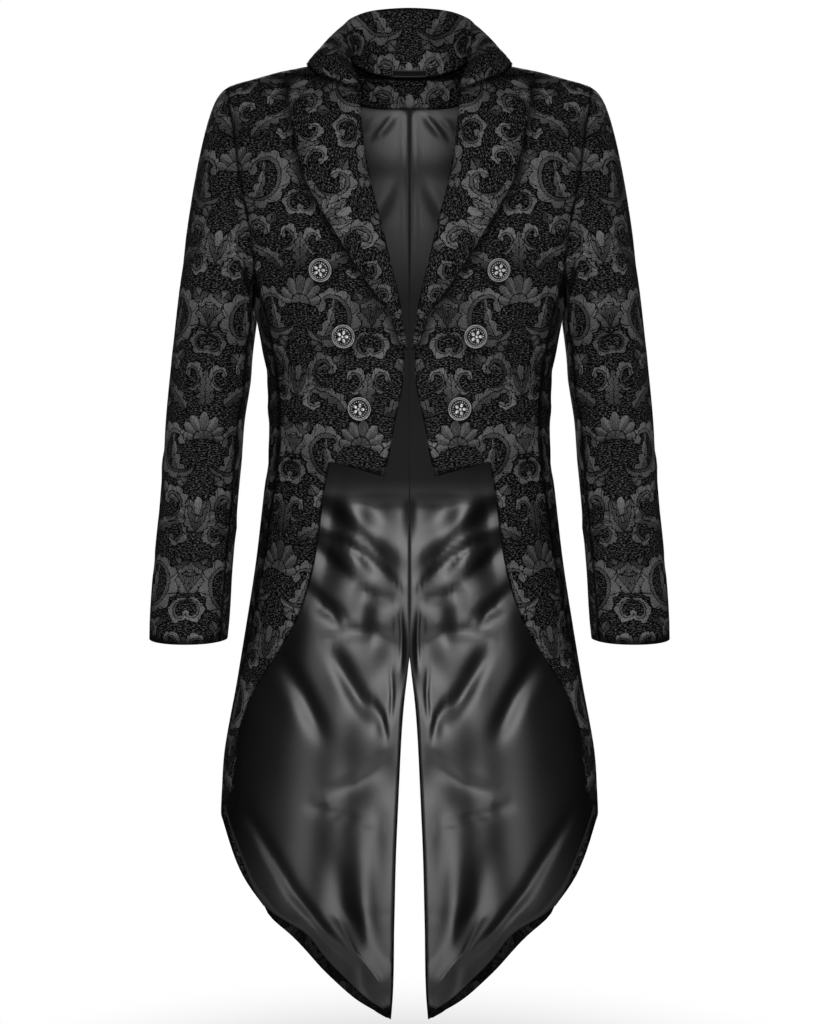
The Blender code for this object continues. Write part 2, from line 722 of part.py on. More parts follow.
def sleeve_place(first, last):
    """The sleeve between two clocks, across from one to the other and along from armhole to cuff."""

    def place(across, along, depth):
        clock = blend(first, last, across)
        first_along = max(along - ALONG_STEP, 0.0)
        last_along = min(along + ALONG_STEP, 1.0)
        around = sleeve(clock + CLOCK_NUDGE, along) - sleeve(clock - CLOCK_NUDGE, along)
        down = sleeve(clock, last_along) - sleeve(clock, first_along)
        return sleeve(clock, along) - around.cross(down).normalized() * depth

    return place


roll_x, roll_z = through(LAPEL, "roll_x"), through(LAPEL, "roll_z")
edge_x, edge_z = through(LAPEL, "edge_x"), through(LAPEL, "edge_z")


def lapel_section(slide, over, along, above):
    """A place on a row of the lapel: this far in from the roll, this share over its face, this far above."""
    start = Vector((roll_x(along), roll_z(along)))
    end = Vector((edge_x(along), edge_z(along)))
    spot = start.lerp(end, over) + (end - start).normalized() * slide * (1 - over)
    tent = 1 - abs(over - NOTCH_SHARE) / (NOTCH_SHARE if over < NOTCH_SHARE else 1 - NOTCH_SHARE)
    spot.y += NOTCH_RISE * tent * along**NOTCH_REACH
    return cloth(turn_at(spot.x, spot.y), spot.y, -above)


def lapel_face(column, along, depth, reach=1.0):
    """A place on the lapel by its column: the leg inside the edge, the wrap round it, then the face."""
    radius = ROLL_RADIUS - depth
    if column <= LEG_COLUMNS:
        slide = blend(LEG_LENGTH, ROLL_RADIUS, column / LEG_COLUMNS)
        return lapel_section(slide, 0.0, along, -ROLL_CENTRE_DEPTH - radius)
    if column <= LEG_COLUMNS + WRAP_COLUMNS:
        angle = math.pi * (column - LEG_COLUMNS) / WRAP_COLUMNS
        slide = ROLL_RADIUS - radius * math.sin(angle)
        return lapel_section(slide, 0.0, along, -ROLL_CENTRE_DEPTH - radius * math.cos(angle))
    share = (column - LEG_COLUMNS - WRAP_COLUMNS) / FACE_COLUMNS
    over = share * reach
    start = ROLL_RADIUS - ROLL_CENTRE_DEPTH
    end = blend(EDGE_LIFT, PEAK_LIFT, ease((along - PEAK_START) / (1 - PEAK_START)))
    above = blend(start, end, over) + BELLY_LIFT * math.sin(math.pi * over)
    return lapel_section(ROLL_RADIUS, over, along, above - depth)


def lapel_place(across, along, depth):
    """The lapel, across from the leg inside the edge to its outer edge and along from the button up."""
    return lapel_face(across * (LEG_COLUMNS + WRAP_COLUMNS + FACE_COLUMNS), along, depth)


def gorge_section(column):
    """The collar's front end, level with the lapel's top as far as the notch."""
    if column <= TOP_COLUMN:
        wrap = LEG_COLUMNS + column / TOP_COLUMN * WRAP_COLUMNS
        return lapel_face(wrap if column > 0 else LEG_COLUMNS * GORGE_LEG, 1.0, 0.0)
    share = (column - TOP_COLUMN) / (COLLAR_COLUMNS - TOP_COLUMN)
    return lapel_face(LEG_COLUMNS + WRAP_COLUMNS + share * FACE_COLUMNS, 1.0, 0.0, NOTCH_SHARE)


def neck_edge(station):
    """Where the neck edge runs at this station, as a turn and a height."""
    if station < SHOULDER_STATION:
        height = blend(GORGE_HEIGHT, FRONT_EDGE[0].height, station / SHOULDER_STATION)
        return turn_at(front_edge(height), height), height
    across = blend(NECK_POINT, 0.0, (station - SHOULDER_STATION) / (1 - SHOULDER_STATION))
    return turn_at(across, nape(across), front=False), nape(across)


def wrapped(station, angle, leg):
    """A place on the collar where it turns round the neck edge, by an angle from its inside."""
    spot = neck_edge(station)
    before = body(*neck_edge(max(station - NECK_STEP, 0.0)))
    after = body(*neck_edge(min(station + NECK_STEP, 1.0)))
    out = outward(*spot)
    away = (after - before).cross(out).normalized()
    centre = body(*spot) - out * ROLL_CENTRE_DEPTH
    turned = math.radians(angle)
    return centre - (out * math.cos(turned) + away * math.sin(turned)) * ROLL_RADIUS + away * leg


def round_the_neck(rows):
    """A reader of one line of the collar, from the gorge to the centre back."""
    axes = [through(rows, axis) for axis in ("x", "y", "z")]
    return lambda station: Vector([axis(station) for axis in axes])


Section = namedtuple("Section", "column value")
collar_roll, collar_crest = round_the_neck(COLLAR_ROLL), round_the_neck(COLLAR_CREST)
collar_fall, collar_edge = round_the_neck(COLLAR_FALL), round_the_neck(COLLAR_EDGE)


def free_section(station, column):
    """The collar's section: round or on the neck edge, up to the roll, over the crest and down its fall."""
    rising = ease((station - WRAP_START) / (WRAP_END - WRAP_START))
    leg = COLLAR_LEG * (1 - ease((station - LEG_START) / (LEG_END - LEG_START)))
    roll = collar_roll(station)
    lines = [
        (0, wrapped(station, 90 * rising, leg)),
        (1, wrapped(station, 45 + 45 * rising, 0.0).lerp(roll, FIRST_RISE * rising)),
        (SIDE_COLUMN, wrapped(station, 90, 0.0).lerp(roll, SECOND_RISE * rising)),
        (ROLL_COLUMN, roll),
        (CREST_COLUMN, collar_crest(station)),
        (FALL_COLUMN, collar_fall(station)),
        (COLLAR_COLUMNS, collar_edge(station)),
    ]
    return Vector([through([Section(at, spot[k]) for at, spot in lines], "value")(column) for k in range(3)])


def collar_face(station, column):
    """The collar's outer face, at a station round the neck and a column from its base over to its edge."""
    near = min(station, 2 - station)
    free = free_section(near, column)
    if near < GORGE_SHARE:
        gorge = gorge_section(column) + Vector((0.0, 0.0, GORGE_GAP))
        free = gorge.lerp(free, ease(near / GORGE_SHARE))
    if station > 1:
        free.x = -free.x
    return free


def collar_point(station, column, depth):
    """A place this deep in the collar's cloth."""
    later, earlier = min(station + STATION_STEP, 2.0), max(station - STATION_STEP, 0.0)
    further, nearer = min(column + COLUMN_STEP, COLLAR_COLUMNS), max(column - COLUMN_STEP, 0)
    around = collar_face(later, column) - collar_face(earlier, column)
    over = collar_face(station, further) - collar_face(station, nearer)
    return collar_face(station, column) - over.cross(around).normalized() * depth


def collar_place(across, along, depth):
    """The collar, across from its base over to its edge and along from gorge to gorge."""
    return collar_point(along * 2, across * COLLAR_COLUMNS, depth)


def tab_place(across, along, depth):
    """The bare tab on the collar's stand at the centre back."""
    station = 1 + (across - 0.5) * 2 * TAB_ROWS / COLLAR_ROWS
    column = blend(TAB_FOOT_COLUMN, TAB_TOP_COLUMN, along)
    return collar_point(station, column, depth - GAP - WOVEN_TAB)


def facing_place(across, along, depth):
    """The back-neck facing, across the nape and along from the neck seam down."""
    aside = abs(across - 0.5) * 2 * FACING_BACK_COLUMNS / BACK_COLUMNS
    row = min(max(along * FACING_ROWS, FACING_FIRST_ROW), FACING_LAST_ROW)
    turn, height = back_spot(1 - aside, row / BACK_ROWS)
    place = cloth(turn, height, CLOTH + GAP + FACING_EASE + depth)
    if across < 0.5:
        place.x = -place.x
    return place


def creases(x, height):
    """How far the satin's creases lift it off the back here."""
    lift = 0.0
    for crease in LINING_CREASES:
        start = Vector((crease.x1, crease.z1))
        run = Vector((crease.x2, crease.z2)) - start
        here = Vector((x, height)) - start
        share = here.dot(run) / run.length_squared
        off = (here - run * min(max(share, 0.0), 1.0)).length
        lift += crease.rise * math.exp(-((off / crease.width) ** 2))
    return lift


def lining_spot(column, row):
    """The lining's turn and height on the columns of the side body, then of the back."""
    foot = ARM_ROWS + WAIST_ROWS + SKIRT_ROWS
    if column <= SIDE_COLUMNS and row <= foot:
        row = min(row, foot - FOOT_RISE)
        if column < SIDE_COLUMNS:
            return side_spot(column / SIDE_COLUMNS, (row - ARM_ROWS) / (WAIST_ROWS + SKIRT_ROWS))
    across = (column - SIDE_COLUMNS) / BACK_COLUMNS
    along = row / BACK_ROWS
    side, centre = back_spot(0.0, along), back_spot(1.0, along)
    level = centre[1]
    if row > foot:
        width = (body(*centre) - body(*side)).length
        across = blend(LINING_RISE / width, 1 - VENT_HEM / width, across)
    elif across == 1 and level < VENT[0].height:
        across = 1 - VENT_HEM / (body(*centre) - body(*side)).length
    return back_spot(across, along)


def lining_place(across, along, depth):
    """The lining, across from the front's seam to the centre and along from the facing to near the tip."""
    column = across * (SIDE_COLUMNS + BACK_COLUMNS)
    row = max(LINING_START + along * LINING_ROWS, LINING_FIRST_ROW)
    turn, height = lining_spot(column, row)
    lift = creases(ring_point(turn, height)[0], height) + LINING_EASE
    lift += TAIL_EASE * ease(row - ARM_ROWS - WAIST_ROWS - SKIRT_ROWS)
    return cloth(turn, height, CLOTH + GAP + lift + depth)


def lining_kept(across, along):
    """The lining covers the side body only below the waist, and the tail beside the back alone."""
    row = LINING_START + along * LINING_ROWS
    beside = across * (SIDE_COLUMNS + BACK_COLUMNS) < SIDE_COLUMNS
    return not beside or ARM_ROWS + WAIST_ROWS < row < ARM_ROWS + WAIST_ROWS + SKIRT_ROWS


def make_material(name, colour, roughness, metallic):
    material = bpy.data.materials.get(name)
    if material is None:
        material = bpy.data.materials.new(name)
        material.use_nodes = True
        shader = material.node_tree.nodes["Principled BSDF"]
        shader.inputs["Base Color"].default_value = (*colour, 1.0)
        shader.inputs["Roughness"].default_value = roughness
        shader.inputs["Metallic"].default_value = metallic
    return material


def add_object(name, mesh, finish, collection, parent):
    mesh.materials.append(make_material(*finish))
    piece = bpy.data.objects.new(name, mesh)
    piece.parent = parent
    collection.objects.link(piece)
    return piece


def cloth_wall(name, size, place, thickness, side=1, kept=None):
    """A closed wall of cloth: a grid bent to its place, and the same grid again a wall's thickness deeper."""
    sheet = bmesh.new()
    bmesh.ops.create_grid(sheet, x_segments=size[0], y_segments=size[1], size=0.5)
    if kept:
        centres = {face: face.calc_center_median() for face in sheet.faces}
        gone = [face for face, spot in centres.items() if not kept(spot.x + 0.5, spot.y + 0.5)]
        bmesh.ops.delete(sheet, geom=gone, context="FACES")
    bmesh.ops.triangulate(sheet, faces=sheet.faces, quad_method="FIXED")
    outer = list(sheet.verts)
    grown = bmesh.ops.extrude_face_region(sheet, geom=sheet.faces[:], use_keep_orig=True)
    inner = [item for item in grown["geom"] if isinstance(item, bmesh.types.BMVert)]
    for corners, depth in ((outer, 0.0), (inner, thickness)):
        for corner in corners:
            spot = place(corner.co.x + 0.5, corner.co.y + 0.5, depth)
            corner.co = (side * spot.x, spot.y, spot.z)
    bmesh.ops.recalc_face_normals(sheet, faces=sheet.faces)
    if sheet.calc_volume(signed=True) < 0:
        bmesh.ops.reverse_faces(sheet, faces=sheet.faces)
    mesh = bpy.data.meshes.new(name)
    sheet.to_mesh(mesh)
    sheet.free()
    mesh.shade_smooth()
    mesh.set_sharp_from_angle(angle=math.radians(SMOOTH_ANGLE))
    return mesh


def button_mesh(name):
    """The button's profile, from the crown of its dome down its outer side to the foot of its shank."""
    line = bmesh.new()
    points = [line.verts.new((point.radius, 0.0, point.height)) for point in BUTTON_PROFILE]
    for first, second in zip(points, points[1:]):
        line.edges.new((first, second))
    mesh = bpy.data.meshes.new(name)
    line.to_mesh(mesh)
    line.free()
    return mesh


def add_button(name, place, side, collection, parent):
    """One button, turned about its own axis and set on the front along the cloth's own way out."""
    piece = add_object(name, button_mesh(name), OLD_SILVER, collection, parent)
    turned = piece.modifiers.new("turned", "SCREW")
    turned.steps = BUTTON_SIDES
    turned.render_steps = BUTTON_SIDES
    turned.use_merge_vertices = True
    turned.merge_threshold = BUTTON_MERGE
    turn = turn_at(place.across, place.height)
    seat = body(turn, place.height)
    way_out = outward(turn, place.height)
    seat.x *= side
    way_out.x *= side
    piece.matrix_world = Matrix.Translation(seat) @ way_out.to_track_quat("Z", "Y").to_matrix().to_4x4()


def build():
    for item in list(bpy.data.objects):
        bpy.data.objects.remove(item)
    collection = bpy.data.collections.new("tailcoat")
    bpy.context.scene.collection.children.link(collection)
    rest = bpy.data.objects.new("shoulder_rest", None)
    collection.objects.link(rest)

    def sew(name, size, place, thickness, finish, side=1, kept=None):
        mesh = cloth_wall(name, size, place, thickness, side, kept)
        return add_object(name, mesh, finish, collection, rest)

    front_rows = ARM_ROWS + WAIST_ROWS + SKIRT_ROWS
    sleeve_rows = CAP_ROWS + TUBE_ROWS
    lapel_columns = LEG_COLUMNS + WRAP_COLUMNS + FACE_COLUMNS
    lining_columns = SIDE_COLUMNS + BACK_COLUMNS
    upper = (ELBOW_SEAM_CLOCK - 360 + SLEEVE_SEAM, FOREARM_SEAM_CLOCK - SLEEVE_SEAM)
    under = (FOREARM_SEAM_CLOCK + SLEEVE_SEAM, ELBOW_SEAM_CLOCK - SLEEVE_SEAM)
    for side, word in ((1, "left"), (-1, "right")):
        front_size = (FRONT_COLUMNS, front_rows)
        sew(f"front_{word}", front_size, laid(front_spot), CLOTH, BROCADE, side, front_kept)
        sew(f"side_{word}", (SIDE_COLUMNS, WAIST_ROWS + SKIRT_ROWS), laid(side_spot), CLOTH, BROCADE, side)
        sew(f"back_{word}", (BACK_COLUMNS, BACK_ROWS), laid(back_spot), CLOTH, BROCADE, side)
        for part, clocks in (("upper", upper), ("under", under)):
            columns = round((clocks[1] - clocks[0]) / CLOCK_STEP)
            place = sleeve_place(*clocks)
            sew(f"sleeve_{part}_{word}", (columns, sleeve_rows), place, CLOTH, BROCADE, side)
        sew(f"lapel_{word}", (lapel_columns, LAPEL_ROWS), lapel_place, CLOTH, BROCADE, side)
        lining_size = (lining_columns, LINING_ROWS)
        sew(f"lining_{word}", lining_size, lining_place, SATIN, BLACK_SATIN, side, lining_kept)
        for place in BUTTONS:
            add_button(f"{place.name}_{word}", place, side, collection, rest)
    sew("collar", (COLLAR_COLUMNS, COLLAR_ROWS), collar_place, CLOTH, BROCADE)
    sew("neck_facing", (2 * FACING_BACK_COLUMNS, FACING_ROWS), facing_place, CLOTH, BROCADE)
    sew("label", (TAB_ROWS, 1), tab_place, WOVEN_TAB, TAB_CLOTH)


build()
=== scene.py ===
# %% [markdown]
# # A brocade tailcoat
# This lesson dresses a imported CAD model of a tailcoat. The CAD pieces already have the true cut, so each
# visible piece of cloth starts as a copy of its CAD wall. Here it gets softer curves, creases and pressed
# edges, and then a finish: black damask, satin lining, a bare woven tab and antique silver buttons.

import math
from collections import namedtuple
from functools import partial, partialmethod
from types import SimpleNamespace

import bmesh
import bpy
import numpy as np
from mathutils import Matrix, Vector


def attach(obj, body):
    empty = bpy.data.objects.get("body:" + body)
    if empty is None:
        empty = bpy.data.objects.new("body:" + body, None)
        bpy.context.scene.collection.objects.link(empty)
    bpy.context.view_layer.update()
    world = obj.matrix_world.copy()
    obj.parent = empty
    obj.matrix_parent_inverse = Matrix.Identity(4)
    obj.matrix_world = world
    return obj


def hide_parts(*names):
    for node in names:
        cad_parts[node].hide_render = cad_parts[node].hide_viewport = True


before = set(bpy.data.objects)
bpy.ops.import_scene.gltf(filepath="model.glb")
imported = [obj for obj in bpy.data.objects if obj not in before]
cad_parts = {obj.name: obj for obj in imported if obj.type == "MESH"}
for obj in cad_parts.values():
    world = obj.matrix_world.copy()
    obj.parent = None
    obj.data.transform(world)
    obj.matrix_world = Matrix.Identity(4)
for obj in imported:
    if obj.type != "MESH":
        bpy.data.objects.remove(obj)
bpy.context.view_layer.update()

# %% [markdown]
# The camera stands 3 m in front of the coat, at the height of the chest, and looks slightly down, as the
# photograph does. A long lens keeps the perspective mild. The lens is given for the upright side of the
# picture, because the picture is taller than it is wide.

# %% Camera
CAMERA_PLACE = Vector((0.0, -3.0, -0.16))
CAMERA_AIM = Vector((0.0, 0.0, -0.507))
LENS_MM = 90.745
SENSOR_MM = 36.0


def aim(thing, target):
    """Turns a camera or light so that it looks at a place."""
    thing.rotation_euler = (target - thing.location).to_track_quat("-Z", "Y").to_euler()


def link(name, data):
    """A new object in the scene."""
    made = bpy.data.objects.new(name, data)
    bpy.context.scene.collection.objects.link(made)
    return made


camera = link("camera", bpy.data.cameras.new("camera"))
camera.data.sensor_fit = "VERTICAL"
camera.data.sensor_height = SENSOR_MM
camera.data.lens = LENS_MM
camera.location = CAMERA_PLACE
aim(camera, CAMERA_AIM)
bpy.context.scene.camera = camera
print("camera", tuple(camera.location), "lens", camera.data.lens)

# %% [markdown]
# Black cloth needs large, soft lamps: satin shows the lamp's own shape in its gloss, and a small lamp
# would leave hard spots. One broad lamp hangs over the camera, so that what faces the camera is brightest
# and the sides fall off into the dark. The tails lean out towards the floor, so their lining mirrors what
# lies low: a lamp flat on the floor, like a white studio floor, gives it its broad shine. Weaker lamps on
# the other sides keep the back readable. No lamp is itself seen.

# %% Studio light
Lamp = namedtuple("Lamp", "name place target width height watts")
COAT_MIDDLE = (0.0, 0.0, -0.5)
LAMPS = [
    Lamp("front_lamp", (0.0, -3.1, 1.75), COAT_MIDDLE, 2.0, 1.3, 50.0),
    Lamp("middle_lamp", (0.0, -3.9, 0.1), COAT_MIDDLE, 0.9, 0.5, 6.0),
    Lamp("floor_lamp", (0.0, -1.75, -1.27), (0.0, -1.74, 0.0), 0.6, 2.0, 21.0),
    Lamp("left_lamp", (3.4, 0.8, 0.3), COAT_MIDDLE, 1.2, 2.0, 14.0),
    Lamp("right_lamp", (-3.4, 0.8, 0.3), COAT_MIDDLE, 1.2, 2.0, 14.0),
    Lamp("back_lamp", (0.0, 3.6, 0.3), COAT_MIDDLE, 2.2, 1.4, 60.0),
]
for lamp in LAMPS:
    light = bpy.data.lights.new(lamp.name, "AREA")
    light.shape = "RECTANGLE"
    light.size = lamp.width
    light.size_y = lamp.height
    light.energy = lamp.watts
    placed = link(lamp.name, light)
    placed.location = lamp.place
    placed.visible_camera = False
    aim(placed, Vector(lamp.target))
print(len(LAMPS), "soft lamps")

# %% [markdown]
# Every finish here is a net of small nodes. To keep the sums readable, what flows between nodes is wrapped
# in a class of its own: adding or multiplying two such values places the Math node that does it.


# %% Values in a node tree
class Value:
    """A number, colour or place that comes out of a node. Sums with it place Math nodes."""

    def __init__(self, socket):
        self.socket = socket
        self.tree = socket.id_data

    def worked(self, operation, *others):
        """A Math node on this value and others."""
        return maths(operation, self, *others)

    def __rsub__(self, number):
        return maths("SUBTRACT", number, self)

    __add__ = partialmethod(worked, "ADD")
    __sub__ = partialmethod(worked, "SUBTRACT")
    __mul__ = partialmethod(worked, "MULTIPLY")
    __truediv__ = partialmethod(worked, "DIVIDE")
    __pow__ = partialmethod(worked, "POWER")
    __abs__ = partialmethod(worked, "ABSOLUTE")


def feed(value, socket):
    """Links a value to a socket, or sets a plain number or colour on it."""
    if isinstance(value, Value):
        value.tree.links.new(value.socket, socket)
    else:
        socket.default_value = value


def add_node(tree, kind, output=0, inputs=(), **settings):
    """Places a node, with its settings and with pairs of an input and what feeds it. Gives one output."""
    node = tree.nodes.new(kind)
    for name, value in settings.items():
        setattr(node, name, value)
    for name, value in inputs:
        feed(value, node.inputs[name])
    return Value(node.outputs[output])


def maths(operation, *values, clamp=False):
    """One Math node in the tree of the values; plain numbers may stand among them."""
    tree = next(value.tree for value in values if isinstance(value, Value))
    return add_node(tree, "ShaderNodeMath", 0, enumerate(values), operation=operation, use_clamp=clamp)


times_plus = partial(maths, "MULTIPLY_ADD")
larger = partial(maths, "MAXIMUM")
smaller = partial(maths, "MINIMUM")
sin = partial(maths, "SINE")
cos = partial(maths, "COSINE")


def clamped(value):
    """A value held between 0 and 1."""
    return maths("ADD", value, 0.0, clamp=True)


def distance(along, beside):
    """How far away a place is that lies so far along and beside."""
    return maths("SQRT", along * along + beside * beside)


def ramped(value, low, high):
    """0 below low, 1 above high, smooth between; low may be the larger one."""
    return add_node(value.tree, "ShaderNodeMapRange", "Result",
                    [("Value", value), ("From Min", low), ("From Max", high)],
                    interpolation_type="SMOOTHSTEP")


def mixed(factor, first, second):
    """A colour between two others."""
    return add_node(factor.tree, "ShaderNodeMix", 2, [(0, factor), (6, first), (7, second)], data_type="RGBA")


def noise(place, scale, detail=2.0, roughness=0.5):
    """A noise value from 0 to 1."""
    return add_node(place.tree, "ShaderNodeTexNoise", "Fac",
                    [("Vector", place), ("Scale", scale), ("Detail", detail), ("Roughness", roughness)])


def across_and_up(place):
    """The two flat coordinates of a place."""
    across = add_node(place.tree, "ShaderNodeSeparateXYZ", 0, [(0, place)])
    return across, Value(across.socket.node.outputs[1])


# %% [markdown]
# The room is plain: a pale floor that fades into a white surround. The surround lights the coat only
# a little, so that black stays black, while the camera sees it almost white.

# %% Surround and floor
SURROUND_SEEN = 1.0
SURROUND_LIGHT = 0.015
WHITE = (1.0, 1.0, 1.0, 1.0)
FLOOR_HEIGHT = -1.30
FLOOR_RADIUS = 9.0
FLOOR_FADE_START = 0.15
FLOOR_FADE_END = 0.8
FLOOR_GREY = (0.9, 0.9, 0.9, 1.0)
FLOOR_ROUGHNESS = 0.7


def surround_strength(tree):
    """Strong where the camera looks at it, weak where it lights the coat."""
    seen = add_node(tree, "ShaderNodeLightPath", "Is Camera Ray")
    return times_plus(seen, SURROUND_SEEN - SURROUND_LIGHT, SURROUND_LIGHT)


world = bpy.data.worlds.new("surround")
bpy.context.scene.world = world
world.use_nodes = True
background = world.node_tree.nodes["Background"]
feed(WHITE, background.inputs["Color"])
feed(surround_strength(world.node_tree), background.inputs["Strength"])

bpy.ops.mesh.primitive_circle_add(vertices=96, radius=FLOOR_RADIUS, fill_type="NGON",
                                  location=(0, 0, FLOOR_HEIGHT))
floor = bpy.context.active_object
floor.name = "studio_floor"
paint = bpy.data.materials.new("pale floor")
paint.use_nodes = True
tree = paint.node_tree
spot = add_node(tree, "ShaderNodeTexCoord", "Object")
radius = add_node(tree, "ShaderNodeVectorMath", "Value", [(0, spot)], operation="LENGTH")
fade = ramped(radius, FLOOR_FADE_START, FLOOR_FADE_END)
glow = add_node(tree, "ShaderNodeEmission", 0, [("Color", WHITE), ("Strength", surround_strength(tree))])
shader = tree.nodes["Principled BSDF"]
feed(FLOOR_GREY, shader.inputs["Base Color"])
feed(FLOOR_ROUGHNESS, shader.inputs["Roughness"])
blend = add_node(tree, "ShaderNodeMixShader", 0, [(0, fade), (1, Value(shader.outputs[0])), (2, glow)])
feed(blend, tree.nodes["Material Output"].inputs["Surface"])
floor.data.materials.append(paint)
bpy.context.scene.view_settings.view_transform = "Standard"
print("floor at", FLOOR_HEIGHT)

# %% [markdown]
# ## Shared effects
# Woven cloth is a grid of threads. From a step away the eye sees only flecks: short bright dashes where
# a weft thread lies on top. A stretched noise, cut off at a level, gives such flecks, and a second, much
# larger noise makes the cloth a little cloudy. Both live in one node group, with the thread size as an
# input, so that brocade, satin and the tab share it.


# %% Node group: woven threads
def by_name(sockets):
    """Output sockets as values, under their names in small letters."""
    return SimpleNamespace(**{s.name.lower().replace(" ", "_"): Value(s) for s in sockets if s.name})


def new_group(name, inputs, outputs):
    """A group of shader nodes; an input without a value is a place, all others are numbers."""
    group = bpy.data.node_groups.new(name, "ShaderNodeTree")
    for label, value in inputs:
        kind = "NodeSocketVector" if value is None else "NodeSocketFloat"
        socket = group.interface.new_socket(label, in_out="INPUT", socket_type=kind)
        if value is not None:
            socket.default_value = value
    for label in outputs:
        group.interface.new_socket(label, in_out="OUTPUT", socket_type="NodeSocketFloat")
    entry = group.nodes.new("NodeGroupInput")
    leave = group.nodes.new("NodeGroupOutput")
    return group, by_name(entry.outputs), leave.inputs


def place_group(tree, group, **values):
    """A node that uses a group, and its outputs; each value's name is its input's, in small letters."""
    node = tree.nodes.new("ShaderNodeGroup")
    node.node_tree = group
    for name, value in values.items():
        feed(value, node.inputs[name.replace("_", " ").title()])
    return by_name(node.outputs)


threads, given, result = new_group(
    "woven threads",
    [("Cloth", None), ("Flecks Across", 520.0), ("Flecks Up", 950.0)],
    ["Flecks", "Cloudiness"],
)
flat_cloth = threads.nodes.new("ShaderNodeCombineXYZ")
across, up = across_and_up(given.cloth)
feed(across * given.flecks_across, flat_cloth.inputs[0])
feed(up * given.flecks_up, flat_cloth.inputs[1])
feed(noise(Value(flat_cloth.outputs[0]), 1.0, 1.0), result["Flecks"])
feed(noise(given.cloth, 14.0, 3.0), result["Cloudiness"])
print("group", threads.name)

# %% [markdown]
# ## Black damask
# Damask shows its figures by the weave alone: the figures are smooth satin that catches the light, the
# ground is a dull, flecked weave. The classical figures here are leaves, scrolls and fans in a repeat that
# is mirrored about its middle and set half a drop lower in the next column. Each figure is a small node
# group that measures how deep a place lies inside the figure, and how bright its threads are there.
# Every next figure is laid over the last.
# A figure's root shifts by less than a thread where another figure lies under it: that can't be seen, but
# it makes the renderer work the figures out one after another, so that few values wait at a time.

# %% Measuring helpers for figures
INK_OUTER = 1.0
INK_INNER = 0.45
THREAD_MM = 3.1
THREAD_TONE = 0.17
WAIT_MM = 0.001
FIGURE_INPUTS = [
    ("Place", None),
    ("Under Figure", 0.0),
    ("Under Ink", 0.0),
    ("Under Shade", 0.0),
    ("Root Across", 0.0),
    ("Root Up", 0.0),
    ("Turn", 0.0),
]
FIGURE_OUTPUTS = ["Figure", "Ink", "Shade"]
VEIN = (0.16, 0.05)
SPINE = (0.75, 0.35)


def new_figure(name, *inputs):
    """A group with the inputs of every figure and some of its own."""
    return new_group(name, FIGURE_INPUTS + list(inputs), FIGURE_OUTPUTS)


def turned_from_root(given):
    """A place as seen from a figure's root, turned by its angle: along it and beside it."""
    across, up = across_and_up(given.place)
    root_across = times_plus(given.under_figure, WAIT_MM, given.root_across)
    root_up = times_plus(given.under_figure, WAIT_MM, given.root_up)
    across = across - root_across
    up = up - root_up
    cosine = cos(given.turn)
    sine = sin(given.turn)
    return across * cosine + up * sine, up * cosine - across * sine


def lay_over(given, result, depth, veins, shade):
    """Lays a figure over those under it: its body, its tone, and the dark line round it and its veins."""
    inside = ramped(depth, -0.15, 0.15)
    line = ramped(abs(depth + INK_INNER), INK_OUTER, INK_INNER)
    veins = veins * inside
    clear = 1.0 - inside
    under_ink = given.under_ink * clear
    feed(larger(given.under_figure, inside), result["Figure"])
    feed(larger(under_ink, larger(line, veins)), result["Ink"])
    feed(times_plus(shade, inside, given.under_shade * clear), result["Shade"])
    print("group", depth.tree.name, len(depth.tree.nodes), "nodes")


def threads_of(slanted, share, brighter_side):
    """The tone of a figure: darker at its root, one side brighter, and fine threads across it."""
    fine = sin(slanted * (math.tau / THREAD_MM))
    tone = times_plus(share, 0.40, 0.22)
    tone = times_plus(ramped(brighter_side, -1.5, 1.5), 0.26, tone)
    return times_plus(fine, THREAD_TONE, tone)


def lobed_edge(share, given):
    """A factor that cuts lobes into a leaf's width, by the share of the way along the leaf."""
    wave = abs(sin(share * math.pi * given.lobes))
    return times_plus(wave - 1.0, given.lobe_depth, 1.0)


def lobe_veins(slanted, length, given):
    """Thin dark veins, one to each lobe."""
    beat = slanted * given.lobes / length
    return ramped(abs(sin(beat * math.pi)), *VEIN)


# %% [markdown]
# A leaf is a spindle with a rounded base and a pointed tip. Its edge is cut into lobes by a wave, its
# spine is bent into a curve, and dark veins run from the spine to each lobe.

# %% Node group: a lobed leaf
leaf_group, given, result = new_figure(
    "damask leaf", ("Length", 40.0), ("Width", 9.0), ("Bend", 0.0), ("Lobes", 4.0), ("Lobe Depth", 0.3))
along, beside = turned_from_root(given)
share = along / given.length
bow = given.bend * along * share
signed = beside - bow
beside = abs(signed)
kept = clamped(share)
beyond = abs(share - kept) * given.length
spindle = sin(kept ** 0.62 * math.pi)
half = spindle * lobed_edge(kept, given) * given.width
depth = half - beside - beyond
slanted = along - beside * 1.1
side_veins = lobe_veins(slanted, given.length, given)
spine = ramped(beside, *SPINE)
shade = threads_of(slanted, kept, signed)
lay_over(given, result, depth, larger(side_veins, spine), shade)

# %% [markdown]
# A curl is the acanthus scroll of every damask: a leaf bent round in a circle that tightens to a knob, with
# lobes on its outer edge only. In polar coordinates round the middle of the circle it is almost straight,
# so the share of the way round takes the place of the way along a leaf.

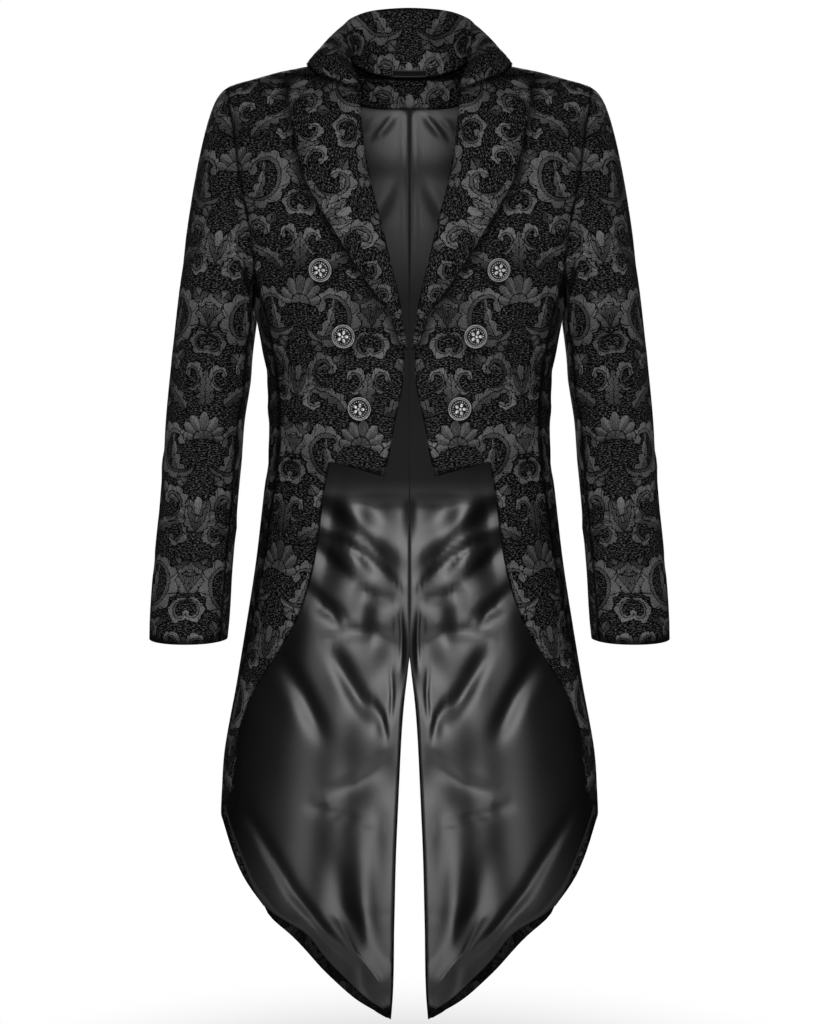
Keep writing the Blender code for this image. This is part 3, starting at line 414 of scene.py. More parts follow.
# %% Node group: a curling leaf
TIGHTEN = 0.55
curl_group, given, result = new_figure(
    "damask curl", ("Radius", 24.0), ("Hand", 1.0), ("Sweep", 4.5), ("Width", 9.0), ("Lobes", 5.0),
    ("Lobe Depth", 0.5))
along, beside = turned_from_root(given)
beside = beside * given.hand
angle = maths("FRACT", times_plus(maths("ARCTAN2", beside, along), 1 / math.tau, 1.0))
reach = distance(along, beside)
share = angle * math.tau / given.sweep
kept = clamped(share)
line = times_plus(kept, -TIGHTEN, 1.0) * given.radius
off = reach - line
over = (share - kept) * given.sweep
before = (1.0 - angle) * math.tau
beyond = smaller(over, before) * reach
spindle = times_plus(sin(kept * math.pi), 0.72, 0.28) * given.width
outer = spindle * lobed_edge(kept, given) - off
inner = times_plus(spindle, 0.42, off)
depth = smaller(outer, inner) - beyond
knob_reach = given.radius * ((1 - TIGHTEN) * 0.85)
knob_along = along - knob_reach * cos(given.sweep)
knob_beside = beside - knob_reach * sin(given.sweep)
from_knob = distance(knob_along, knob_beside)
knob = given.width * 0.48 - from_knob
depth = larger(depth, knob)
arc = given.sweep * given.radius
slanted = kept * arc - off * 0.9
side_veins = lobe_veins(slanted, arc, given)
side_veins = side_veins * ramped(off, -0.4, 0.4)
spine = ramped(abs(off), *SPINE)
shade = threads_of(slanted, kept, off)
lay_over(given, result, depth, larger(side_veins, spine), shade)

# %% [markdown]
# Fans and blossoms are the same figure: petals side by side round a root, with a dark line between two
# petals and a ring near the root. A fan opens through part of a turn, a blossom through all of it.

# %% Node group: a fan of petals
fan_group, given, result = new_figure("damask fan", ("Radius", 30.0), ("Petals", 7.0), ("Spread", 1.6))
along, beside = turned_from_root(given)
angle = maths("ARCTAN2", beside, along)
reach = distance(along, beside)
beat = angle * given.petals / given.spread
petal = abs(cos(beat * (math.pi / 2)))
opened = angle / given.spread
fall = times_plus(opened * opened, -0.30, 1.0)
edge = times_plus(petal ** 0.55, 0.34, 0.66) * fall * given.radius
sides = (given.spread - abs(angle)) * reach
depth = smaller(edge - reach, sides)
between = ramped(petal * reach, 3.0, 1.6)
from_ring = reach - given.radius * 0.36
ring = ramped(abs(from_ring), 0.9, 0.4)
outside_ring = ramped(from_ring, -0.5, 0.5)
veins = larger(ring, between * outside_ring)
share = reach / given.radius
across_petal = sin(beat * math.pi) * 1.5
shade = threads_of(angle * given.radius, share, across_petal)
lay_over(given, result, depth, veins, shade)

# %% [markdown]
# The figures are listed in half a repeat, in millimetres: across from the mirror line, and up.
# The other half is the same, mirrored and half a drop lower. A figure that crosses the half's upper or
# lower edge is drawn a second time at its twin place, so that it is whole on both sides of that edge.

# %% The repeat
HALF_ACROSS = 85.0
HALF_DROP = 155.0
Leaf = namedtuple("Leaf", "root_across root_up turn length width bend lobes lobe_depth")
Curl = namedtuple("Curl", "root_across root_up turn radius hand sweep width lobes lobe_depth")
Fan = namedtuple("Fan", "root_across root_up turn radius petals spread")
FIGURES = [
    Leaf(16, -6, 40, 62, 11, 0.55, 5, 0.55),
    Leaf(64, 66, -62, 44, 9, 0.60, 4, 0.50),
    Leaf(85, 24, 112, 46, 10, 0.45, 4, 0.52),
    Leaf(85, 62, 232, 34, 8, -0.55, 3, 0.50),
    Curl(37, 38, 214, 34, 1, 292, 12, 8, 0.52),
    Curl(60, 92, 150, 15, -1, 270, 8, 4, 0.50),
    Leaf(22, 84, 50, 60, 10, -0.50, 5, 0.52),
    Leaf(30, 150, -58, 40, 8, 0.55, 3, 0.50),
    Curl(50, 128, 250, 20, 1, 285, 9, 6, 0.50),
    Curl(17, 122, -70, 13, -1, 265, 7, 4, 0.45),
    Curl(80, 4, 70, 13, 1, 260, 7, 4, 0.45),
    Fan(85, 104, 90, 30, 7, 1.55),
    Leaf(85, 96, 134, 36, 8, -0.50, 4, 0.50),
    Fan(0, 48, 90, 32, 7, 1.75),
    Leaf(0, 86, 90, 46, 10, 0.0, 5, 0.52),
]
FIGURE_MARGIN = 3.0


def figure_span(figure):
    """The lowest and highest place that a figure reaches."""
    low = high = figure.root_up
    if isinstance(figure, Leaf):
        high += figure.length * math.sin(math.radians(figure.turn))
        room = figure.width + abs(figure.bend) * figure.length * 0.5
    else:
        room = figure.radius + (figure.width if isinstance(figure, Curl) else 0)
    return min(low, high) - room, max(low, high) + room


def twin(figure, rise):
    """The same figure in the mirrored half repeat above (rise 1) or below (rise -1)."""
    moved = figure._replace(root_across=HALF_ACROSS - figure.root_across,
                            root_up=figure.root_up + rise * HALF_DROP, turn=180 - figure.turn)
    if isinstance(figure, Leaf):
        return moved._replace(bend=-figure.bend)
    if isinstance(figure, Curl):
        return moved._replace(hand=-figure.hand)
    return moved


figures = []
for figure in FIGURES:
    lowest, highest = figure_span(figure)
    if highest > HALF_DROP - FIGURE_MARGIN:
        figures.append(twin(figure, -1))
    if lowest < FIGURE_MARGIN:
        figures.append(twin(figure, 1))
    figures.append(figure)
print(len(FIGURES), "figures in half a repeat,", len(figures), "with twins")

# %% [markdown]
# Each place on the cloth is folded into the half repeat: mirrored across by a ping-pong wave, wrapped up
# and down, and turned to its twin in the second half. A little noise moves the place first, because
# woven figures step from thread to thread and never have a perfectly clean edge.

# %% Node group: the damask repeat
MM = 1000.0
RAGGED_MM = 2.0
RAGGED_SCALE = 300.0
SWAY_MM = 7.0
SWAY_SCALE = 22.0
GROUP_OF = {Leaf: leaf_group, Curl: curl_group, Fan: fan_group}
ANGLES = ("turn", "sweep")


def unsteady(place, scale, size):
    """A small movement to and fro, in millimetres."""
    return (noise(place, scale, 1.0) - 0.5) * (size * 2)


tree, given, result = new_group("damask repeat", [("Cloth", None)], FIGURE_OUTPUTS)
damask_group = tree
across, up = across_and_up(given.cloth)
shifted = add_node(tree, "ShaderNodeMapping", 0, [("Vector", given.cloth), ("Scale", (1.0, -1.0, 1.0))])
across = times_plus(across, MM, unsteady(given.cloth, RAGGED_SCALE, RAGGED_MM))
up = times_plus(up, MM, unsteady(shifted, RAGGED_SCALE, RAGGED_MM))
up = up + unsteady(shifted, SWAY_SCALE, SWAY_MM)
across = maths("PINGPONG", across, HALF_ACROSS)
up = maths("FLOORED_MODULO", up, HALF_DROP * 2)
second = maths("GREATER_THAN", up, HALF_DROP)
up = up - second * HALF_DROP
across = across + second * times_plus(across, -2.0, HALF_ACROSS)
folded = add_node(tree, "ShaderNodeCombineXYZ", 0, [(0, across), (1, up)])
under = SimpleNamespace(figure=0.0, ink=0.0, shade=0.0)
for figure in figures:
    settings = figure._asdict()
    for name in ANGLES:
        if name in settings:
            settings[name] = math.radians(settings[name])
    under = place_group(tree, GROUP_OF[type(figure)], place=folded, under_figure=under.figure,
                        under_ink=under.ink, under_shade=under.shade, **settings)
for name, value in vars(under).items():
    feed(value, result[name.title()])
print("group", damask_group.name, "with", len(figures), "figures")

# %% [markdown]
# The brocade's ground is a dull, almost black weave with pale flecks. The figures are lighter and
# smoother, from nearly black at a root to a clear grey at a tip, because their threads lie another way
# there. The ground's threads stand up more than the figures' do, so its bump is stronger. Dark lines part
# the figures. The rim mark of each piece darkens its edges with painted shade, as in a seam and under a
# turned edge, and a shade mark paints shadow on what lies close below another piece.

# %% Material: black brocade
GROUND_DARK = (0.0012, 0.0012, 0.0013, 1.0)
GROUND_FLECK = (0.135, 0.135, 0.137, 1.0)
FIGURE_DARK = (0.012, 0.012, 0.0122, 1.0)
FIGURE_LIGHT = (0.250, 0.250, 0.254, 1.0)
INK_AND_SHADE_BLACK = (0.0012, 0.0012, 0.0013, 1.0)
EDGE_SHADE = 0.85
UNDER_SHADE = 0.86
CLOTH_MAP = "cloth cut"


def new_material(name, roughness, metallic=0.0, specular=0.5):
    """A material, its tree, and the inputs of its own Principled BSDF with their constant values."""
    material = bpy.data.materials.new(name)
    material.use_nodes = True
    skin = material.node_tree.nodes["Principled BSDF"].inputs
    skin["Roughness"].default_value = roughness
    skin["Metallic"].default_value = metallic
    skin["Specular IOR Level"].default_value = specular
    return material, material.node_tree, skin


def cloth_place(tree):
    """Places on the cloth, from the piece's own flat cut."""
    return add_node(tree, "ShaderNodeUVMap", "UV", uv_map=CLOTH_MAP)


def marked(tree, name):
    """A mark that is stored on the piece's points."""
    return add_node(tree, "ShaderNodeAttribute", "Fac", attribute_name=name)


def bumped(height, distance, strength, skin):
    """A bump that feeds the shader's normal."""
    bump = add_node(height.tree, "ShaderNodeBump", "Normal",
                    [("Height", height), ("Distance", distance), ("Strength", strength)])
    feed(bump, skin["Normal"])


brocade, tree, skin = new_material("black brocade", roughness=0.6, specular=0.05)
cloth = cloth_place(tree)
damask = place_group(tree, damask_group, cloth=cloth)
weave = place_group(tree, threads, cloth=cloth, flecks_across=340.0, flecks_up=1050.0)
ground = mixed(ramped(weave.flecks, 0.52, 0.68), GROUND_DARK, GROUND_FLECK)
cloudy = times_plus(weave.cloudiness, 1.4, -0.70)
lit = maths("ADD", damask.shade, cloudy * 0.9, clamp=True) ** 1.55
satin_part = mixed(lit, FIGURE_DARK, FIGURE_LIGHT)
worn = ramped(weave.flecks, 0.50, 0.34) * 0.55
satin_part = mixed(worn, satin_part, GROUND_DARK)
colour = mixed(damask.figure, ground, satin_part)
colour = mixed(damask.ink * 0.97, colour, INK_AND_SHADE_BLACK)
# Painted shade: the rim mark darkens edges and seams, and the shade mark darkens what lies close below
# another piece, both towards black.
edge = ramped(marked(tree, "rim"), 0.66, 0.94) * EDGE_SHADE
edge = larger(edge, marked(tree, "shade") * UNDER_SHADE)
feed(mixed(edge, colour, INK_AND_SHADE_BLACK), skin["Base Color"])
feed(times_plus(damask.figure, -0.22, 0.72), skin["Roughness"])
bumped(weave.flecks, 0.0004, times_plus(damask.figure, -0.35, 0.55), skin)
print("material", brocade.name)

# %% [markdown]
# The lining is satin: the same black, but smooth, so it shows the lamp as a broad soft shine. Its colour
# hardly matters; the folds and the roughness make the picture. Fine threads run down the cloth. Along its
# seams it is pressed and stitched, so the rim mark makes it dull there, and so does the mark of the shade
# deep inside the closed coat.

# %% Material: black satin
SATIN_DARK = (0.0026, 0.0026, 0.0027, 1.0)
SATIN_LIGHT = (0.0060, 0.0060, 0.0062, 1.0)
DULL_ROUGHNESS = 0.85
satin, tree, skin = new_material("black satin", roughness=0.40, specular=0.90)
weave = place_group(tree, threads, cloth=cloth_place(tree), flecks_across=1500.0, flecks_up=160.0)
feed(mixed(weave.cloudiness, SATIN_DARK, SATIN_LIGHT), skin["Base Color"])
rim = marked(tree, "rim")
rough = times_plus(weave.cloudiness, 0.08, 0.31)
shaded = marked(tree, "shade")
dull = larger(ramped(rim, 0.72, 0.96), shaded)
feed(rough + dull * (DULL_ROUGHNESS - rough), skin["Roughness"])
bumped(weave.flecks, 0.00012, 0.25, skin)
print("material", satin.name)

# %% [markdown]
# The tab at the neck is a narrow black woven ribbon, left bare, with a paler edge and close ribs. The edge
# is where a place on the tab's flat cut is far from the tab's middle.

# %% Material: woven tab
TAB_HALF_WIDTH = 0.0204
TAB_HALF_HEIGHT = 0.0035
TAB_MIDDLE_UP = 0.0022
TAB_BLACK = (0.004, 0.004, 0.0041, 1.0)
TAB_GREY = (0.012, 0.012, 0.0122, 1.0)
TAB_EDGE = (0.085, 0.085, 0.086, 1.0)
tab_cloth, tree, skin = new_material("woven tab", roughness=0.75, specular=0.08)
cloth = cloth_place(tree)
weave = place_group(tree, threads, cloth=cloth, flecks_across=2200.0, flecks_up=900.0)
colour = mixed(weave.flecks, TAB_BLACK, TAB_GREY)
across, up = across_and_up(cloth)
far_across = abs(across) / TAB_HALF_WIDTH
far_up = abs(up - TAB_MIDDLE_UP) / TAB_HALF_HEIGHT
at_edge = larger(ramped(far_across, 0.93, 0.97), ramped(far_up, 0.66, 0.80))
feed(mixed(at_edge, colour, TAB_EDGE), skin["Base Color"])
bumped(weave.flecks, 0.0002, 0.5, skin)
print("material", tab_cloth.name)

# %% [markdown]
# ## Cloth
# A CAD wall comes in as loose triangles. Merged and joined into four-sided faces it can be subdivided,
# which turns the facets into the soft curve of cloth. Edges that bend sharply are the rims of the wall,
# and they are creased, so that the piece keeps its cut. Subdivision pulls a curved edge inwards, which
# would open the seams, so the coarse points are first moved out by as much as they would be pulled in.

# %% From a CAD wall to a soft shell
MERGE = 0.00001
RIM_BEND = math.radians(55)
FLAT_BEND = math.radians(30)
QUAD_SLACK = math.radians(75)
SMOOTH_BEND = math.radians(50)
FIT_ROUNDS = 3
THICKEST_WALL = 0.0026


def rows_of(things, name, width=3):
    """One property of many points, as an array with a row for each."""
    flat = np.empty(len(things) * width, np.float32)
    things.foreach_get(name, flat)
    return flat.reshape(-1, width)


def points_of(piece):
    """The piece's points as an array."""
    return rows_of(piece.data.vertices, "co").astype(float)


def set_points(piece, points):
    """Puts the points back."""
    piece.data.vertices.foreach_set("co", points.astype(np.float32).ravel())
    piece.data.update()


def rim_of(piece):
    """The mark that is 1 at a wall's rims."""
    return rows_of(piece.data.attributes["rim"].data, "value", 1)[:, 0]


def set_mark(piece, name, values):
    """Stores one number for each point, which a material reads by its name."""
    mark = piece.data.attributes.new(name, "FLOAT", "POINT")
    mark.data.foreach_set("value", values.astype(np.float32))


def select_only(piece):
    """Deselects all and makes one piece active."""
    bpy.ops.object.select_all(action="DESELECT")
    piece.select_set(True)
    bpy.context.view_layer.objects.active = piece


def edit(piece):
    """Edit mode with everything of the piece selected."""
    select_only(piece)
    bpy.ops.object.mode_set(mode="EDIT")
    bpy.ops.mesh.select_all(action="SELECT")


def leave_edit():
    """Back to object mode."""
    bpy.ops.object.mode_set(mode="OBJECT")


def rim_faces(form):
    """The narrow faces round a wall's edge: two edges are sharp, the others are the wall's thickness."""
    strip = set()
    for face in form.faces:
        sharp = [edge for edge in face.edges if edge.seam]
        across = [edge.calc_length() for edge in face.edges if not edge.seam]
        if len(sharp) >= 2 and across and max(across) < THICKEST_WALL:
            strip.add(face)
    return strip


def merged_copy(node, name):
    """A node's wall with shared points, four-sided faces, creased rims and a mark on its rim points."""
    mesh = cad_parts[node].data.copy()
    mesh.materials.clear()
    while mesh.uv_layers:
        mesh.uv_layers.remove(mesh.uv_layers[0])
    form = bmesh.new()
    form.from_mesh(mesh)
    bmesh.ops.remove_doubles(form, verts=form.verts, dist=MERGE)
    bmesh.ops.join_triangles(form, faces=form.faces, angle_face_threshold=FLAT_BEND,
                             angle_shape_threshold=QUAD_SLACK)
    crease = form.edges.layers.float.new("crease_edge")
    rim = form.verts.layers.float.new("rim")
    for edge in form.edges:
        edge.seam = edge.calc_face_angle(0.0) > RIM_BEND
    strip = rim_faces(form)
    for edge in form.edges:
        edge.seam = edge.seam or sum(face in strip for face in edge.link_faces) == 1
        edge[crease] = float(edge.seam)
        if edge.seam:
            for point in edge.verts:
                point[rim] = 1.0
    form.to_mesh(mesh)
    form.free()
    return link(name, mesh)


def apply_modifier(piece, kind, **settings):
    """Adds a modifier with its settings and applies it."""
    select_only(piece)
    modifier = piece.modifiers.new(kind.lower(), kind)
    for name, value in settings.items():
        setattr(modifier, name, value)
    bpy.ops.object.modifier_apply(modifier=modifier.name)


def soften(piece, levels):
    """Subdivides the wall, so that the soft surface still passes through the CAD wall's own points."""
    wanted = points_of(piece)
    modifier = piece.modifiers.new("fit", "SUBSURF")
    modifier.levels = levels
    for _ in range(FIT_ROUNDS):
        bpy.context.view_layer.update()
        seen = piece.evaluated_get(bpy.context.evaluated_depsgraph_get())
        reached = points_of(seen)[:len(wanted)]
        set_points(piece, points_of(piece) + wanted - reached)
    piece.modifiers.remove(modifier)
    apply_modifier(piece, "SUBSURF", levels=levels, render_levels=levels, uv_smooth="NONE")


# %% [markdown]
# A woven pattern follows the cloth, not the room. A tailor cuts each piece from flat cloth, so the piece
# is unwrapped back to that flat cut: Blender flattens each side of the wall, and the flat piece is scaled
# to its real size and turned until its grain runs up the coat. The same flat cut gives the piece's size.

# %% The flat cut of a piece
Cut = namedtuple("Cut", "width length area")
TURN_REACH = 0.165
SEAM_REACH = 0.0004
ARMHOLE_FOOT = -0.262
INTO_COAT = 0.4
UPWARDS = 0.7
INSIDE_SHARE = (0.75, 0.0, 0.0)


def area_of(faces):
    """The area of some faces together."""
    return sum(face.calc_area() for face in faces)


def side_groups(form):
    """The faces on each side of a wall: the two largest groups of faces parted by seams."""
    left = dict.fromkeys(form.faces)
    groups = []
    while left:
        waiting = [next(iter(left))]
        left.pop(waiting[0])
        group = []
        while waiting:
            face = waiting.pop()
            group.append(face)
            for edge in face.edges:
                for other in edge.link_faces:
                    if not edge.seam and other in left:
                        left.pop(other)
                        waiting.append(other)
        groups.append(group)
    groups.sort(key=lambda faces: -area_of(faces))
    print("  sides of the wall, cm2:", [round(1e4 * area_of(faces)) for faces in groups[:5]])
    return groups[:2]


def fitted_places(points, flat, faces_area, flat_area, across):
    """Flat places in metres: grain up the coat, and `across` growing the same way as the given guess."""
    scale = math.sqrt(faces_area / max(flat_area, 1e-12))
    table = np.column_stack([flat, np.ones(len(flat))])
    slope = np.linalg.lstsq(table, points[:, 2], rcond=None)[0][:2]
    up = slope / np.linalg.norm(slope)
    beside = np.array([up[1], -up[0]])
    placed = np.column_stack([flat @ beside, flat @ up]) * scale
    if np.cov(placed[:, 0], across)[0, 1] < 0:
        placed[:, 0] *= -1
    placed[:, 0] += across.mean() - placed[:, 0].mean()
    placed[:, 1] += points[:, 2].mean() - placed[:, 1].mean()
    return placed


def round_the_coat(points):
    """A guess of the way round from the centre front, in metres."""
    return np.arctan2(np.abs(points[:, 0]), -points[:, 1]) * TURN_REACH


def straight_across(points):
    """The way across for a piece that lies over the centre."""
    return points[:, 0].copy()


def front_to_back(points):
    """The way across for a sleeve."""
    return points[:, 1].copy()


def widen(form, sides, reach, armhole_reach, upper_reach):
    """Moves the rims outwards in the wall's own surface, so that a seam closes; a sleeve's top reaches in."""
    panel_faces = set(sides[0]) | set(sides[1])
    ways = {}
    for face in form.faces:
        if face not in panel_faces:
            for point in face.verts:
                ways[point] = ways.get(point, Vector()) + face.normal
    for point, way in ways.items():
        way.normalize()
        into_coat = -way.x * math.copysign(1, point.co.x)
        if into_coat > INTO_COAT and point.co.z > ARMHOLE_FOOT:
            point.co += way * armhole_reach
        else:
            point.co += way * (upper_reach if way.z > UPWARDS else reach)


def grained(placed, degrees):
    """The flat places turned about their middle, for a piece cut across the grain."""
    middle = placed.mean(axis=0)
    cosine = math.cos(math.radians(degrees))
    sine = math.sin(math.radians(degrees))
    return (placed - middle) @ np.array([[cosine, -sine], [sine, cosine]]) + middle


def flatten(piece, across_guess, inside_slot=0, reach=SEAM_REACH, armhole_reach=SEAM_REACH,
            upper_reach=SEAM_REACH, grain=0.0):
    """Unwraps both sides of a wall, at real size; the inner side may take its own material slot."""
    edit(piece)
    bpy.ops.uv.unwrap(method="MINIMUM_STRETCH", iterations=20, margin=0.01)
    leave_edit()
    form = bmesh.new()
    form.from_mesh(piece.data)
    layer = form.loops.layers.uv.verify()
    places = {}
    cuts = []
    facing_out = []
    sides = side_groups(form)
    for side in sides:
        flat_of = {}
        flat_area = 0.0
        for face in side:
            corners = [loop[layer].uv.copy() for loop in face.loops]
            for loop, corner in zip(face.loops, corners):
                flat_of[loop.vert] = corner
            flat_area += abs(sum(a.cross(b) for a, b in zip(corners, corners[1:] + corners[:1]))) / 2
        points = np.array([point.co for point in flat_of])
        area = area_of(side)
        flat = np.array(list(flat_of.values()))
        placed = fitted_places(points, flat, area, flat_area, across_guess(points))
        places.update(zip(flat_of, grained(placed, grain)))
        cuts.append(Cut(np.ptp(placed[:, 0]), np.ptp(placed[:, 1]), area))
        middle = Vector(points.mean(axis=0) * INSIDE_SHARE)
        outwards = [face.normal.dot(face.calc_center_median() - middle) for face in side]
        facing_out.append(sum(outwards) / len(side))
    inner = sides[0] if facing_out[0] < facing_out[1] else sides[1]
    for face in inner:
        face.material_index = inside_slot
    for face in form.faces:
        for loop in face.loops:
            if loop.vert in places:
                loop[layer].uv = places[loop.vert]
    widen(form, sides, reach, armhole_reach, upper_reach)
    form.to_mesh(piece.data)
    form.free()
    piece.data.uv_layers[0].name = CLOTH_MAP
    return cuts[0]


def cloth_from(node, name, levels, across, **cut_settings):
    """A soft piece of cloth from a CAD wall, and its flat cut."""
    piece = merged_copy(node, name)
    cut = flatten(piece, across, **cut_settings)
    soften(piece, levels)
    return piece, cut


# %% [markdown]
# Cloth is never quite smooth. Each crease is listed: a drag line is a soft, tilted ridge or hollow
# on the coat's form, given by where it lies round the coat (or round a sleeve) and how high. The move is
# along a way that depends only on the place, so both faces of a wall and its neighbours move together.
# A row gives the degrees round, the height, half the width in degrees, half the height, the rise for each
# degree, and the depth. Its lengths are in millimetres.

# %% Drag lines
COAT_DRAGS = (
    (62, -262, 10, 11, 1.6, -2),
    (58, -305, 12, 12, 1.4, 1.6),
    (52, -372, 16, 10, -0.8, -1.5),
    (38, -398, 14, 9, -1, 1.4),
    (60, -430, 13, 13, 0.9, -1.4),
    (84, -345, 12, 12, 1, -1.8),
    (96, -392, 14, 11, -0.8, 1.8),
    (88, -452, 11, 13, 0.5, -1.6),
    (126, -330, 16, 14, 1.2, -2.2),
    (140, -382, 15, 10, -1, 1.8),
    (152, -425, 14, 12, 1.2, -2),
    (118, -420, 12, 12, 1.4, 1.4),
    (160, -150, 11, 20, 2.2, -1.8),
    (130, -170, 9, 24, -3, -1.8),
    (66, -520, 7, 50, 4, 1.6),
    (58, -640, 5, 70, 5, -0.7),
    (78, -700, 5, 80, 2, -1),
    (100, -640, 6, 80, -1, 1.1),
    (110, -800, 6, 70, 1.5, -0.7),
    (124, -700, 7, 90, 1, 1.1),
    (142, -860, 6, 100, -0.8, -0.8),
    (158, -980, 6, 90, 0.6, 0.7),
    (132, -980, 6, 70, 1, 0.7),
    (168, -800, 5, 60, 1, 0.6),
)
SLEEVE_DRAGS = (
    (110, -300, 34, 10, -0.4, -2.2),
    (70, -345, 30, 9, -0.55, 1.6),
    (120, -372, 38, 9, 0.45, 2.4),
    (60, -408, 32, 8, 0.6, -2),
    (110, -428, 36, 8, -0.35, 2),
    (40, -455, 28, 9, -0.6, 1.6),
    (90, -482, 34, 9, 0.4, -2.2),
    (130, -520, 30, 10, -0.3, 1.8),
    (60, -560, 26, 10, 0.45, -1.4),
    (280, -330, 30, 12, 0.5, -2.4),
    (250, -400, 34, 10, -0.4, 2.6),
    (300, -440, 30, 10, 0.5, -2.4),
    (250, -490, 30, 11, 0.3, 2),
    (310, -545, 26, 12, -0.4, 1.6),
    (20, -225, 22, 18, 0.6, -1.6),
    (330, -255, 22, 18, -0.5, 1.6),
)
SLEEVE_LINE = (
    (-0.110, 0.205, 0.010),
    (-0.290, 0.224, 0.008),
    (-0.444, 0.241, 0.008),
    (-0.536, 0.249, 0.022),
    (-0.652, 0.2565, 0.042),
)
COAT_FLATNESS = 3.3


def unit(ways):
    """Each way with length 1."""
    return ways / np.maximum(np.linalg.norm(ways, axis=1, keepdims=True), 1e-9)


def out_of_coat(points):
    """The way out of the coat's rounded form, and the degrees round it from the centre front."""
    ways = np.column_stack([points[:, 0], COAT_FLATNESS * points[:, 1], np.zeros(len(points))])
    around = np.degrees(np.arctan2(np.abs(points[:, 0]), -points[:, 1]))
    return unit(ways), around


def out_of_sleeve(points):
    """The way out of the sleeve's line, and the degrees round it from its outer side past its front."""
    heights, across, forward = (np.array(column)[::-1] for column in zip(*SLEEVE_LINE))
    beside = np.abs(points[:, 0]) - np.interp(points[:, 2], heights, across)
    ahead = points[:, 1] - np.interp(points[:, 2], heights, forward)
    ways = np.column_stack([beside * np.sign(points[:, 0]), ahead, np.zeros(len(points))])
    around = np.degrees(np.arctan2(-ahead, beside)) % 360
    return unit(ways), around


def add_drags(piece, way_out, drags):
    """Moves the piece's points by every drag line."""
    points = points_of(piece)
    ways, around = way_out(points)
    move = np.zeros(len(points))
    for middle, height, half_round, half_high, rise, depth in drags:
        beside = (around - middle + 180) % 360 - 180
        above = points[:, 2] - height / MM - rise / MM * beside
        move += depth / MM * np.exp(-(beside / half_round) ** 2 - (above / (half_high / MM)) ** 2)
    set_points(piece, points + ways * move[:, None])


# %% [markdown]
# Every edge of a tailored coat is turned in, stitched and pressed, so it is a little thinner than the
# panel and its corner is round. The rim mark fades over the first row of faces, and points near the rim
# sink towards the middle of the wall.

# %% Pressed edges
PRESS_DEPTH = 0.00042
PRESS_START = 0.55


def press_edges(piece):
    """Thins the wall towards its rims."""
    share = np.clip((rim_of(piece) - PRESS_START) / (1 - PRESS_START), 0, 1)
    sink = rows_of(piece.data.vertices, "normal") * (PRESS_DEPTH * share)[:, None]
    set_points(piece, points_of(piece) - sink)


# %% [markdown]
# At the end each piece hides the CAD node it replaces, and the size of the flat cloth it is cut from is
# worked out. The cut is rounded up to a whole millimetre, and no side may be under a centimetre.

# %% Finishing a piece
SHORTEST_CUT = 0.010


def whole_mm(size):
    """A size in metres, rounded up to a whole millimetre."""
    return math.ceil(size * MM) / MM


def finish_cloth(piece, node, materials, cut):
    """Smooth shading and materials; ties the piece to the root, hides its CAD node and works out its flat
    cut.
    """
    select_only(piece)
    bpy.ops.object.shade_smooth_by_angle(angle=SMOOTH_BEND)
    for material in materials:
        piece.data.materials.append(material)
    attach(piece, "root")
    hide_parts(node)
    flat = (whole_mm(cut.width), whole_mm(max(cut.length, SHORTEST_CUT)))
    triangles = sum(len(face.vertices) - 2 for face in piece.data.polygons)
    print(piece.name, f"flat {cut.width:.3f} x {cut.length:.3f} m, {cut.area:.4f} m2, {triangles} triangles")


# %% [markdown]
# ## The coat's pieces
# Fronts, side bodies and backs are brocade through and through: at a hem the brocade is turned in, so it
# shows inside too. Sleeves have satin inside. The flat cut comes first, while the wall is still coarse,
# then the subdivision carries it along, then creases and pressed edges. A front gets a mark where it lies
# in the shade of the turned lapel's edge or just below a button, and a back gets it on all of its inside,
# of which only the hem shows, deep in the lining's shade.

# %% Brocade panels
ARMHOLE_REACH = 0.0026
PanelKind = namedtuple("PanelKind", "across way_out drags armhole_reach inside_slot")
BODY_PANEL = PanelKind(round_the_coat, out_of_coat, COAT_DRAGS, SEAM_REACH, 0)
SLEEVE_PANEL = PanelKind(front_to_back, out_of_sleeve, SLEEVE_DRAGS, ARMHOLE_REACH, 1)
LAPEL_SHADE_REACH = 0.0085
BUTTON_SHADE_REACH = 0.0165
BUTTON_SHADE_DROP = Vector((0.0, 0.0, -0.0045))
PANELS = {
    "front": BODY_PANEL,
    "side": BODY_PANEL,
    "back": BODY_PANEL,
    "sleeve_upper": SLEEVE_PANEL,
    "sleeve_under": SLEEVE_PANEL,
}
SIDES = ("left", "right")
BUTTON_ROWS = (1, 2, 3)
PANEL_LEVELS = 2


def mark_shade(piece, side):
    """Marks a front's points near the lapel, and those just below a button: 1 at it, fading away."""
    points = points_of(piece)
    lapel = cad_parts[f"lapel_{side}"]
    distances = np.array([(lapel.closest_point_on_mesh(Vector(p))[1] - Vector(p)).length for p in points])
    shade = np.exp(-(distances / LAPEL_SHADE_REACH) ** 2)
    for row in BUTTON_ROWS:
        middle = points_of(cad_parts[f"button_{row}_{side}"]).mean(axis=0) + BUTTON_SHADE_DROP
        distances = np.linalg.norm(points - middle, axis=1)
        shade = np.maximum(shade, np.exp(-(distances / BUTTON_SHADE_REACH) ** 4))
    set_mark(piece, "shade", shade)


def mark_inside(piece):
    """Marks the inside of a back: what shows there is the turned hem, which lies in the lining's shade."""
    ways, _ = out_of_coat(points_of(piece))
    normals = rows_of(piece.data.vertices, "normal")
    set_mark(piece, "shade", (normals * ways).sum(axis=1) < 0)


for panel, kind in PANELS.items():
    for side in SIDES:
        node = f"{panel}_{side}"
        piece, cut = cloth_from(node, node + "_cloth", PANEL_LEVELS, kind.across,
                                inside_slot=kind.inside_slot, armhole_reach=kind.armhole_reach)
        if panel == "front":
            mark_shade(piece, side)
        if panel == "back":
            mark_inside(piece)
        add_drags(piece, kind.way_out, kind.drags)
        press_edges(piece)
        finish_cloth(piece, node, (brocade, satin), cut)

# %% [markdown]
# Lapels, collar and facing are brocade on both sides. A lapel is cut from a strip that runs along the roll
# line, so its grain is turned. The facing's upper rim reaches up under the collar. The tab is a plain strip
# of ribbon.

